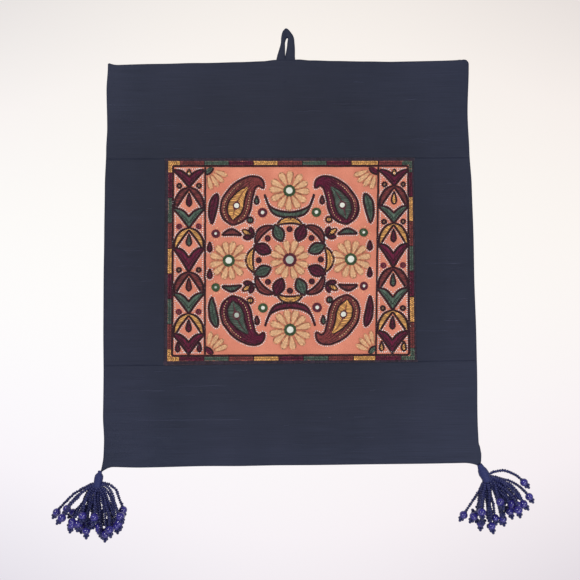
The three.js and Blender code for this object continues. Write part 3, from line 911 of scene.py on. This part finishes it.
def petal_flower(centre, inner, outer, count, turn):
    """Looped petals round a centre."""
    half = 0.44 * 2 * math.pi * (inner + 0.66 * (outer - inner)) / count
    widths = ((0, 0.7), (0.3, 0.66 * half), (0.66, half), (0.88, 0.97 * half), (1, 0.6 * half))
    for k in range(count):
        angle = turn + 2 * math.pi * k / count + rng.gauss(0, 0.03)
        away = np.array((math.cos(angle), math.sin(angle)))
        reach = outer + rng.gauss(0, 0.35)
        looped_petal([centre + away * at for at in (inner, (inner + reach) / 2, reach)], widths, 16)


def spokes(kind, colour, centre, count, inner, outer, *settings):
    """Stitches that point out from a middle, all round it."""
    step = around(count)
    sew(kind, colour, centre + step * inner, centre + step * outer, *settings)


def mirror_ring(centre, radius, colour):
    """Buttonhole stitch that holds a mirror: close spokes over its rim and a rope round them."""
    count = round(2 * math.pi * (radius + 1.2) / MIRROR_PITCH)
    spokes("grain", colour, centre, count, radius - 0.5, radius + 2.1, 0.95, 0.5, 1.25, 0.1)
    ring(centre, radius + 0.1, colour, 1.0, 1.2)
    ring(centre, radius + 1.9, colour, 1.4, 0.2)


def drop(place, length, half, colour, echo=False):
    """A drop with its point up."""
    u, v = place
    spine = [(u, v + length * 0.55), (u, v), (u, v - length * 0.45)]
    widths = ((0, 0.2), (0.35, 0.62 * half), (0.68, half), (0.88, 0.8 * half), (1, 0.3 * half))
    motif(form(spine, widths, 16), colour, echo, DROP_EDGE)


# The border of blocks

def block(start, end, inward, colour, width):
    """One block of close slanting stitch along an edge of the panel."""
    start, end, inward = (np.array(p, float) for p in (start, end, inward))
    way = (end - start) / np.hypot(*(end - start))
    outer = curve([start + way * 0.5, end - way * 0.5], 30)
    inner = outer + inward * width
    fill(outer, inner, colour, columns=2, lag=2.0)


def block_row(colours, start, end, inward, width):
    """A row of blocks with a dark line between each two."""
    marks = np.linspace(start, end, len(colours) + 1)
    for k, colour in enumerate(colours):
        block(marks[k], marks[k + 1], inward, colour, width)
        if k:
            chain(curve([marks[k], marks[k] + np.array(inward) * width], 6), width=1.0)


def corner_block(side, end, colour):
    u, v = BANDS[side]["outer"], end * BLOCK_EDGE[1]
    block((u, v), (u - side * BLOCK_CORNER, v), (0, -end), colour, BLOCK_WIDTH)
    block((u, v - end * BLOCK_WIDTH), (u, v - end * BLOCK_CORNER), (-side, 0), colour, SIDE_BLOCK_WIDTH)


def seam_place(side, up, at):
    """A place on the panel's edge, in panel places: at a side or, if up isn't 0, the low or high edge."""
    if up:
        x = PANEL_MIDDLE[0] + at
        z = upper_seam(x) if up > 0 else lower_seam(x)
        return at, z - PANEL_MIDDLE[1] - skew(at, up * BLOCK_EDGE[1])
    x = read_table(PANEL_RIGHT if side > 0 else PANEL_LEFT, PANEL_MIDDLE[1] + at)
    return x - PANEL_MIDDLE[0] - WORK_LEAN * at / BLOCK_EDGE[1], at


def rim_row(first, last, side, up):
    """Close dark stitches from the blocks' outer edge to the seam: partly a real dark edge and partly
    painted shade of the seam.
    """
    out = np.array((side, up))
    inner = np.linspace(first, last, 60) - out * RIM["inset"]
    outer = np.array([seam_place(side, up, u if up else v) for u, v in inner]) + out * RIM["past"]
    at = np.linspace(0, 1, round(reach_along(inner)[-1] / RIM["pitch"]))
    sew("grain", "dusk", share_of(inner, at), share_of(outer, at), RIM["width"], RIM["height"], RIM["lift"])


def border():
    """Blocks along the four edges and round the corners, a dark line inside them and a dark rim outside,
    partly painted shade of the seam.
    """
    left, right = BANDS[-1]["outer"], BANDS[1]["outer"]
    top, corner = BLOCK_EDGE[1], BLOCK_CORNER
    for end, colours in ((1, TOP_BLOCKS), (-1, BOTTOM_BLOCKS)):
        block_row(colours, (left + corner, end * top), (right - corner, end * top), (0, -end), BLOCK_WIDTH)
    for side, edge, colours in ((-1, left, LEFT_BLOCKS), (1, right, RIGHT_BLOCKS)):
        block_row(colours, (edge, top - corner), (edge, corner - top), (-side, 0), SIDE_BLOCK_WIDTH)
    for end in (1, -1):
        corner_block(-1, end, "mustard")
        corner_block(1, end, "green")
    u0, u1 = left + SIDE_BLOCK_WIDTH + LINE_GAP, right - SIDE_BLOCK_WIDTH - LINE_GAP
    line = top - BLOCK_WIDTH - LINE_GAP
    chain(np.array([(u0, line), (u1, line), (u1, -line), (u0, -line)]), closed=True)
    for side, edge in ((-1, left), (1, right)):
        rim_row((edge, top), (edge, -top), side, 0)
        rim_row((left - 2.8, side * top), (right + 1.8, side * top), 0, side)


# The side bands

def band_place(side, share, up):
    """A place in a band from its share of the half width and its height."""
    return BANDS[side]["middle"] + share * BANDS[side]["half"], up


def band_curve(side, points, samples=24):
    return curve([band_place(side, *point) for point in points], samples)


def vee(side, top, low, colour):
    """A chevron with broad wings, and a dot in each triangle beside it."""
    tall = top - low
    for way in SIDES:
        upper = band_curve(side, [(way, top), (way * 0.70, top - 0.01 * tall),
                                  (way * 0.34, top - 0.14 * tall), (0, top - 0.42 * tall)])
        outer = band_curve(side, [(way, top - 1.2), (way * 0.54, top - 0.47 * tall), (0, low - 0.4)])
        fill(upper, outer, colour, columns=2)
        chain(upper)
        chain(outer)
        dots(upper[3:-2], -way, dark_forms)
        dots(outer[2:-3], way, dark_forms)
        dots(band_curve(side, [(way * 0.92, top - 5), (way * 0.92, max(low - 7, -91))], 12))
        if low < -90:
            continue
        spot = np.array(band_place(side, way * 0.66, low + 0.08 * tall))
        if colour == ("maroon" if side < 0 else "green") or top > 90:
            ring(spot, 2.3, "navy", 2.0)
            disc(spot, 1.4, "tan")
        else:
            disc(spot, 2.4, "rust")
            ring(spot, 2.5, "maroon", 1.5)


def arcs(side, top, low, colour, drop_colour):
    """A pair of lens leaves from a crossing down to the band's edges, with a hanging drop between them."""
    tall = top - low
    for way in SIDES:
        outer = band_curve(side, [(0, top), (way * 0.55, top - 0.16 * tall),
                                  (way * 0.92, top - 0.56 * tall), (way, low)])
        inner = band_curve(side, [(0, top - 2), (way * 0.42, top - 0.50 * tall), (way * 0.88, low)])
        fill(inner, outer, colour)
        chain(outer)
        chain(inner)
        dots(outer[4:-3], way)
        dots(inner[4:-1], -way)
    drop((BANDS[side]["middle"], top - 0.62 * tall), 0.60 * tall, 2.7, drop_colour)


def side_band(side):
    """One band of chevrons and leaves, with the line that parts it from the field."""
    band = BANDS[side]
    drops = iter(band["drops"])
    for way in SIDES:
        drop(band_place(side, way * 0.72, -87.0), 9.5, 2.3, band["drops"][0])
    for (kind, colour), top, low in zip(BAND_ORDER, band["levels"], band["levels"][1:]):
        if kind == "vee":
            vee(side, top, low, colour)
        else:
            arcs(side, top, low, colour, next(drops))
    drop((band["middle"], 88.4), 7.0, 2.7, "mustard")
    chain(curve([(band["inner"], FIELD_TOP), (band["inner"], -FIELD_TOP)], 60), width=2.0)
    for up in (92.4, -92.4):
        dots(band_curve(side, [(-0.87, up), (0.87, up)], 12))


# The field: a generic all-over layout of mirror flowers, leaves and paisleys

def polar(radius, degrees):
    angle = math.radians(degrees)
    return np.array((radius * math.cos(angle), radius * math.sin(angle)))


def mirrored(side, end, *points):
    return [(side * u, end * v) for u, v in points]


def leaf_ring():
    """Eight leaves round the middle flower, with a crescent over each gap and a dot under it."""
    for k in range(8):
        turn = 22.5 + 45 * k
        leaf = ((0, 0.6), (0.3, 4.8), (0.55, 5.8), (0.8, 3.6), (1, 0.4))
        motif(form([polar(r, turn) for r in (20.5, 29, 38.5)], leaf, 18), ("green", "maroon")[k % 2])
        arc = [polar(r, turn + ahead)
               for r, ahead in ((37.4, 3), (39.5, 13), (40.4, 22.5), (39.5, 32), (37.4, 42))]
        crescent = ((0, 0.5), (0.3, 2.9), (0.5, 3.6), (0.7, 2.9), (1, 0.5))
        motif(form(arc, crescent, 22), ("rust", "mustard")[k % 2])
        spot = polar(31.0, turn + 22.5)
        disc(spot, 2.2, "maroon")
        ring(spot, 2.5, "navy", 1.6)


def paisley(side, end, colour, inner_colour):
    """A paisley in one corner of the field, its tip curling in towards the top or bottom middle."""
    spine = mirrored(side, end, (57.5, 36), (56, 45), (53, 57), (47, 69), (39, 77.5), (30.5, 79), (26, 73))
    widths = ((0, 1.5), (0.08, 9.5), (0.2, 14.2), (0.33, 15.2), (0.5, 12.0), (0.66, 7.4), (0.82, 4.4),
              (1, 0.8))
    motif(form(spine, widths, 46), colour)
    core = form(mirrored(side, end, (57, 41), (55.5, 49), (52.8, 58), (47.5, 67.5), (42, 73.5)),
                ((0, 0.8), (0.2, 7.2), (0.45, 8.4), (0.75, 4.2), (1, 0.5)), 28)
    fill(*core, inner_colour, columns=2, lift=CORE_LIFT)
    chain(outline_of(core), "navy", True, 1.8, 0.6)
    for edge in form(spine, [(at, max(half - 3.4, 0.2)) for at, half in widths], 46):
        places = spaced(edge[3:27], 2.6)
        run = (places[1:] - places[:-1]) * 0.28
        middle = (places[1:] + places[:-1]) / 2
        sew("dot", "tan", middle - run, middle + run, 1.0, 0.6, 0.9)


def corner_leaf(side, end, colour):
    outer = abs(BANDS[side]["inner"]) - 6.9
    points = mirrored(side, end, (outer, 37), (outer - 0.2, 47), (outer - 2.1, 58), (outer - 5.1, 67))
    motif(form(points, ((0, 0.5), (0.3, 3.2), (0.65, 4.2), (0.9, 2.4), (1, 0.4)), 22), colour)


def corner_fan(side, end, colour):
    """A quarter of a looped flower set into the corner of the field."""
    corner = np.array((BANDS[side]["inner"] - side * 0.7, end * FIELD_TOP))
    for degrees in (202, 220, 238, 256):
        away = polar(1.0, degrees) * (side, end)
        spine = [corner + away * at for at in (9.5, 15.5, 22.5)]
        looped_petal(spine, ((0, 0.6), (0.3, 1.8), (0.62, 2.6), (0.86, 2.5), (1, 1.4)), 14)
    arc = curve([corner + polar(7.5, angle) * (side, end) for angle in (184, 210, 240, 266)], 14)
    chain(arc, width=1.9)
    fill(arc, np.tile(corner - (side * 1.4, end * 1.4), (14, 1)), colour, columns=2)


def bud(side, end):
    """A small three-petal bud pointing out from the middle between two other flowers."""
    base = polar(43.5, 33) * (side, end)
    for spread, reach, colour in ((-38, 10, "maroon"), (38, 10, "maroon"), (0, 13, "mustard")):
        tip = base + polar(reach, 33 + spread) * (side, end)
        spine = [base, base * 0.45 + tip * 0.55, tip]
        motif(form(spine, ((0, 0.5), (0.45, 2.7), (0.8, 1.8), (1, 0.3)), 12), colour, width=1.6)


def ringed_spot(place, colour):
    """A solid round in a dark ring, with running stitch round it."""
    disc(place, 2.6, colour)
    ring(place, 2.9, "navy", 1.9)
    dots(place + 5.2 * around(24, closed=True), clear=dark_forms)


def sprig(end):
    """A broad chevron between the middle and an end flower."""
    for way in SIDES:
        upper = curve(mirrored(way, end, (25, 66), (20.5, 55), (11, 49.8), (0, 48)))
        lower = curve(mirrored(way, end, (25, 66.4), (16.5, 47.4), (0, 42.0)))
        fill(upper, lower, "green" if end > 0 else "maroon")
        chain(upper)
        chain(lower)
        dark_forms.append(outline_of((upper, lower)))
        dots(upper[2:-1], -way * end)
        dots(lower[2:-1], way * end, dark_forms)


def field():
    """The whole middle of the panel, its flowers set on the frame's mirrors."""
    leaf_ring()
    for side, end in CORNERS:
        matched = side * end > 0
        paisley(side, end, "maroon" if matched else "rust", "green" if matched else "mustard")
        corner_leaf(side, end, "green" if matched else "maroon")
        corner_fan(side, end, "maroon" if matched else "green")
        bud(side, end)
        ledge = mirrored(side, end, (48.5, 25.5), (58, 28.6), (67.5, 26))
        motif(form(ledge, ((0, 0.4), (0.5, 3.2), (1, 0.4)), 16), "green" if matched else "rust")
        drop((side * 80, end * 13.5), 9.5, 2.4, "maroon", True)
        drop((side * 33, end * 60.5), 8.5, 2.3, "rust" if matched else "green", True)
    for end in SIDES:
        sprig(end)
    for side, end in CORNERS:
        ringed_spot(np.array((side * 39.5, end * 40.5)), "mustard" if side * end > 0 else "green")
    sew_echoes()


def mirrors():
    """Each mirror's glass and ring, and its petals or rays by what it carries."""
    for name in sorted(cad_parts):
        if not name.startswith("mirror_"):
            continue
        low, high = (np.array(corner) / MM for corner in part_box(name))
        centre = ((low + high) / 2)[[0, 2]] - PANEL_MIDDLE
        radius = (high[2] - low[2]) / 2
        if "flower" in name or "centre" in name:
            petal_flower(centre, radius + 2.4, 19.8 if "end" in name else 19.0, 12, rng.random())
            mirror_ring(centre, radius, "wine" if "centre" in name else "moss")
        elif "paisley" in name:
            mirror_ring(centre, radius, "wine")
        else:
            mirror_ring(centre, radius, "moss" if centre[0] * centre[1] > 0 else "wine")
            spokes("dot", "tan", centre, 14, radius + 3.4, radius + 5.2, 0.7, 0.45, 0.1)
        dull = centre[0] * 2 + centre[1] < -130 or name == "mirror_centre_1"
        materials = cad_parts[name].data.materials
        materials.clear()
        materials.append(mirror_dull if dull else mirror_clear)


# The loop

def make_loop():
    """A flattened cloth tube bent over at the crown."""
    rows = np.array([*reversed(LEFT_LIMB), CROWN, *RIGHT_LIMB], float)
    sides = 22
    count = 7 * (len(rows) - 1) + 1
    inner = curve(rows[:, 0:2], count)
    outer = curve(rows[:, 2:4], count)
    depth = np.interp(np.linspace(0, len(rows) - 1, count), range(len(rows)), rows[:, 4])
    points = []
    for j in range(count):
        for flat, deep in around(sides):
            wrinkle = 1 + 0.10 * noise.noise(Vector((j * 0.35, 3 * flat, 3 * deep)))
            flat, deep = (math.copysign(abs(part) ** 0.7, part) for part in (flat, deep))
            x, z = inner[j] + (outer[j] - inner[j]) * (0.5 - 0.5 * flat * min(wrinkle, 1.0))
            points.append((x, LOOP_BACK - depth[j] / 2 - deep * depth[j] / 2 * wrinkle, z))
    piece = make_piece("silk_loop", points, tube(count, sides), silk, "silk")
    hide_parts("hanging_loop")


# Tassels

def bead_template(across, down, hole):
    """A pressed bead with its hole along Z: points and quads."""
    points = [(math.cos(angle) * x, math.cos(angle) * y, math.sin(angle))
              for angle in np.linspace(hole - math.pi / 2, math.pi / 2 - hole, down + 1)
              for x, y in around(across)]
    return np.array(points), tube(down + 1, across)


SEED = bead_template(8, 5, 0.35)
LARGE = bead_template(20, 14, 0.22)


def placed(template, centre, axis, scale):
    """A bead turned so that its hole lies along an axis: points and quads."""
    turn = Vector((0, 0, 1)).rotation_difference(Vector(axis)).to_matrix()
    return (template[0] * np.array(scale)) @ np.array(turn).T + centre, template[1]


def unit(way):
    return way / np.linalg.norm(way, axis=-1, keepdims=True)


def strand_path(tassel, swing, reach, bow, layer):
    """Points along one strand from the head to its large bead, as in the solids."""
    root = np.array(tassel["root"], float)
    angle = math.radians(swing)
    aside = np.array((math.cos(angle), 0, math.sin(angle)))
    bead = root + np.array((math.sin(angle), 0, -math.cos(angle))) * reach
    bead[1] = BEAD_LAYERS[layer]
    middle = (root + bead) / 2 + aside * 2 * bow
    t = np.linspace(0, 1, 60)[:, None]
    path = (1 - t) ** 2 * root + 2 * t * (1 - t) * middle + t ** 2 * bead
    spread = ROOT_SPREAD * math.sin(angle) * (1 - t) ** 2
    sway = rng.gauss(0, SWAY) * np.sin(2 * math.pi * t) + rng.gauss(0, 0.4 * SWAY) * np.sin(5 * math.pi * t)
    return path + aside * (spread + sway)


def thread_tube(path, sides=5):
    """A fine thread along a path: points and quads."""
    way = unit(np.gradient(path, axis=0))
    side = unit(np.cross(way, (0, 1, 0)))
    over = np.cross(way, side)
    points = [path + THREAD_RADIUS * (x * side + y * over) for x, y in around(sides)]
    return np.stack(points, 1).reshape(-1, 3), tube(len(path), sides, capped=False, flipped=True)


def hidden_strands(tassel):
    """Strands that hang between and behind the front ones, and more of them in the middle."""
    front = sorted(tassel["strands"])
    made = []
    for (a, ra, bow_a, _), (b, rb, bow_b, _) in zip(front[1:], front[2:-1]):
        if abs(a + b) > 2 * tassel["crowd_swing"]:
            continue
        count = CROWD[a + b > 8]
        for k in range(count):
            share = (k + rng.uniform(0.3, 0.7)) / count
            reach = max(ra, rb) + rng.uniform(-7, 1)
            bow = (bow_a + bow_b) / 2 + rng.uniform(-2.5, 2.5)
            made.append((a + (b - a) * share, reach, bow, rng.choice((0, 0, 1))))
    return made


def thread_beads(tassel, strand, loaded, seeds, large):
    """One strand: its thread, its seeds, a large bead if it is loaded, and three seeds at its end."""
    path = strand_path(tassel, *strand)
    seeds.append(thread_tube(path[:-3:3]))
    reach = reach_along(path)
    at = np.arange(1.5, reach[-1] - BEAD_RADIUS * 0.9, SEED_PITCH)
    for place, ahead in zip(read_path(at, reach, path), read_path(at + 0.4, reach, path)):
        size = SEED_RADIUS * (1 + rng.gauss(0, 0.05))
        shift = np.array([rng.gauss(0, 0.12) for _ in range(3)])
        seeds.append(placed(SEED, place + shift, ahead - place, (size, size, size * 0.76)))
    bead, out = path[-1], unit(path[-1] - path[-3])
    side = unit(np.cross((0, 1, 0), out))
    if loaded:
        size = BEAD_RADIUS * (1 + rng.gauss(0, 0.02))
        large.append(placed(LARGE, bead, out, (size, size, size * 0.94)))
    for ahead, across in PICOTS:
        place = bead + out * (ahead if loaded else ahead - BEAD_RADIUS) + side * across
        way = side if not across else out + side * math.copysign(PICOT_TURN, -across)
        seeds.append(placed(SEED, place, way, (PICOT_RADIUS, PICOT_RADIUS, PICOT_RADIUS * 0.85)))


def tassel_head(tassel):
    """The bound head: threads down its length, wound round at the neck and again above the strands."""
    top, root = np.array(tassel["top"]), np.array(tassel["root"])
    length = np.linalg.norm(root - top)
    rows, sides = 46, 56
    turn = Vector((0, 0, -1)).rotation_difference(Vector(root - top)).to_matrix()
    points = []
    for t in np.linspace(tassel["girth"][0][0], tassel["girth"][-1][0], rows + 1):
        r = tassel["radius"] * read_table(tassel["girth"], t)
        wound = min(smooth((0.1 - t) / 0.05) + smooth(1 - abs(t - 0.9) / 0.09), 1)
        for i in range(sides):
            angle = 2 * math.pi * i / sides
            ribs = 0.055 * abs(math.sin(angle * 14 + 3 * t)) * (1 - wound)
            turns = 0.06 * abs(math.sin(t * length * 2.6 + angle / 2)) * wound
            reach = r * (1 + ribs + turns)
            points.append((reach * math.cos(angle), reach * math.sin(angle), -t * length))
    return np.array(points) @ np.array(turn).T + top, tube(rows + 1, sides, flipped=True)


def make_tassel(name, tassel):
    """The head, and the seed beads, large beads and end beads of every strand."""
    side = name.split("_")[1]
    seeds, large = [], []
    for strand in tassel["strands"]:
        thread_beads(tassel, strand, True, seeds, large)
    for strand in hidden_strands(tassel):
        thread_beads(tassel, strand, rng.random() < LOADED_SHARE, seeds, large)
    points, faces = tassel_head(tassel)
    looks = dict(tone=np.full(len(points), 0.5), ply=points * 2)
    head = make_piece(f"head_{side}", points, faces, head_thread, "tassel", looks)
    make_piece(f"seeds_{side}", *joined(seeds), midnight, "tassel")
    make_piece(f"beads_{side}", *joined(large), cobalt, "tassel")
    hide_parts(name)


# Slub threads

def make_slubs():
    """Thick places in the silk's weft that stand a little proud as paler streaks."""
    places = [(x, z, length, 0.9) for x, z, length in SLUBS]
    while len(places) < 50:
        x, z, length = rng.uniform(-180, 175), rng.uniform(-425, -30), rng.uniform(5, 26)
        if abs(x - PANEL_MIDDLE[0]) < 126 + length and abs(z - PANEL_MIDDLE[1]) < 104:
            continue
        if x + length < 180:
            places.append((x, z, length, rng.uniform(0.3, 0.6)))
    template, triangles = strand_template(
        ((0, 0, -0.3), *((at, 0, 0) for at in (0.1, 0.3, 0.5, 0.7, 0.9)), (1, 0, -0.3)),
        (0.2, 0.5, 0.35, 0.5, 0.2), 4)
    parts = []
    for x, z, length, width in places:
        points = []
        for t, across, rise in template:
            px = x + t * length
            pz = z + across * width + 0.3 * math.sin(px * 0.3)
            surface = lean(px, pz) - CLOTH_THICK / 2 - crease_height(px, pz)
            points.append((px, surface - rise * 0.28, pz))
        parts.append((np.array(points), triangles))
    make_piece("silk_slubs", *joined(parts), slub_silk, "silk")


# Camera, lights and stage

def make_camera():
    data = bpy.data.cameras.new("camera")
    data.sensor_width = SENSOR_WIDTH
    data.lens = SENSOR_WIDTH * CAMERA_DISTANCE * PIXELS_PER_MM / PHOTO_SIDE
    camera = add_object("camera", data)
    tilt, roll = math.radians(CAMERA_TILT_DEG), math.radians(CAMERA_ROLL_DEG)
    forward = Vector((0, math.cos(tilt), math.sin(tilt)))
    right = forward.cross(Vector((0, 0, 1))).normalized()
    up = right.cross(forward)
    leaning_up = up * math.cos(roll) + right * math.sin(roll)
    leaning_right = right * math.cos(roll) - up * math.sin(roll)
    turn = Matrix((leaning_right, leaning_up, -forward)).transposed().to_4x4()
    place = (Vector(CAMERA_TARGET) - forward * CAMERA_DISTANCE) * MM
    camera.matrix_world = Matrix.Translation(place) @ turn
    bpy.context.scene.camera = camera


def make_light(name, place_m, size_m, power, colour):
    """A square light that faces the middle of the hanging."""
    data = bpy.data.lights.new(name, "AREA")
    data.shape, data.size, data.energy, data.color = "SQUARE", size_m, power, colour
    light = add_object(name, data)
    light.location = place_m
    light.rotation_mode = "QUATERNION"
    light.rotation_quaternion = (Vector(LIGHT_TARGET_M) - Vector(place_m)).to_track_quat("-Z", "Y")


def make_world():
    """A pale surround, brightest straight ahead and greyer towards the corners of the picture."""
    world = bpy.data.worlds.new("surround")
    world.use_nodes = True
    bpy.context.scene.world = world
    tree = world.node_tree
    split = node(tree, "ShaderNodeSeparateXYZ")
    tree.links.new(node(tree, "ShaderNodeTexCoord").outputs["Generated"], split.inputs[0])
    x, y, z = (split.outputs[axis] for axis in "XYZ")

    def product(first, second):
        return calculated(tree, "MULTIPLY", first, second)

    def line(source, slope, start):
        return calculated(tree, "MULTIPLY_ADD", source, slope, start)

    rise = line(z, 1.0, -math.sin(math.radians(CAMERA_TILT_DEG)))
    high, wide = product(rise, rise), product(x, x)
    away = line(product(high, wide), 22.0, line(high, 4.0, product(wide, 0.8)))
    surround = multiplied(
        tree,
        ramp(tree, away, (0.0, srgb(255, 254, 255)), (0.45, srgb(249, 245, 250)),
             (1.0, srgb(230, 226, 234))),
        ramp(tree, line(x, 1.3, 0.5), (0.0, (1.0, 1.0, 1.0)), (1.0, (0.98, 0.952, 0.932))),
        ramp(tree, line(y, 0.5, 0.5), (0.40, (0.34, 0.34, 0.36)), (0.62, (1.0, 1.0, 1.0))),
        ramp(tree, line(z, 1.2, 0.5), (0.4, (1.0, 1.0, 1.0)), (1.0, (1.0, 0.995, 0.91))))
    background = tree.nodes["Background"]
    background.inputs["Strength"].default_value = 1.0
    tree.links.new(surround, background.inputs["Color"])


def make_stage():
    """A plain pale floor well below the hanging."""
    mesh = bpy.data.meshes.new("floor")
    corners = [(side * FLOOR_HALF_M, end * FLOOR_HALF_M, FLOOR_LEVEL_M) for side, end in CORNERS]
    mesh.from_pydata(corners, [], [(0, 2, 3, 1)])
    mesh.materials.append(new_material("floor_paint", Base_Color=(0.82, 0.81, 0.80, 1), Roughness=0.8)[0])
    floor = add_object("floor", mesh)


bpy.context.scene.view_settings.view_transform = "Standard"
make_camera()
make_world()
make_stage()
make_light("key", (-0.75, -1.3, 0.55), 0.35, 16, (1.0, 0.98, 0.95))
make_light("fill", (1.0, -1.2, -0.1), 0.5, 7.5, (0.94, 0.97, 1.0))
make_light("low", (0.3, -1.2, -1.0), 0.7, 6.5, (0.97, 0.98, 1.0))

cloth = make_cloth()
make_slubs()
border()
side_band(-1)
side_band(1)
border_pieces = make_stitches("border")
field()
field_pieces = make_stitches("field")
mirrors()
mirror_pieces = make_stitches("mirrors")
make_loop()
make_tassel("tassel_left", TASSEL_LEFT)
make_tassel("tassel_right", TASSEL_RIGHT)
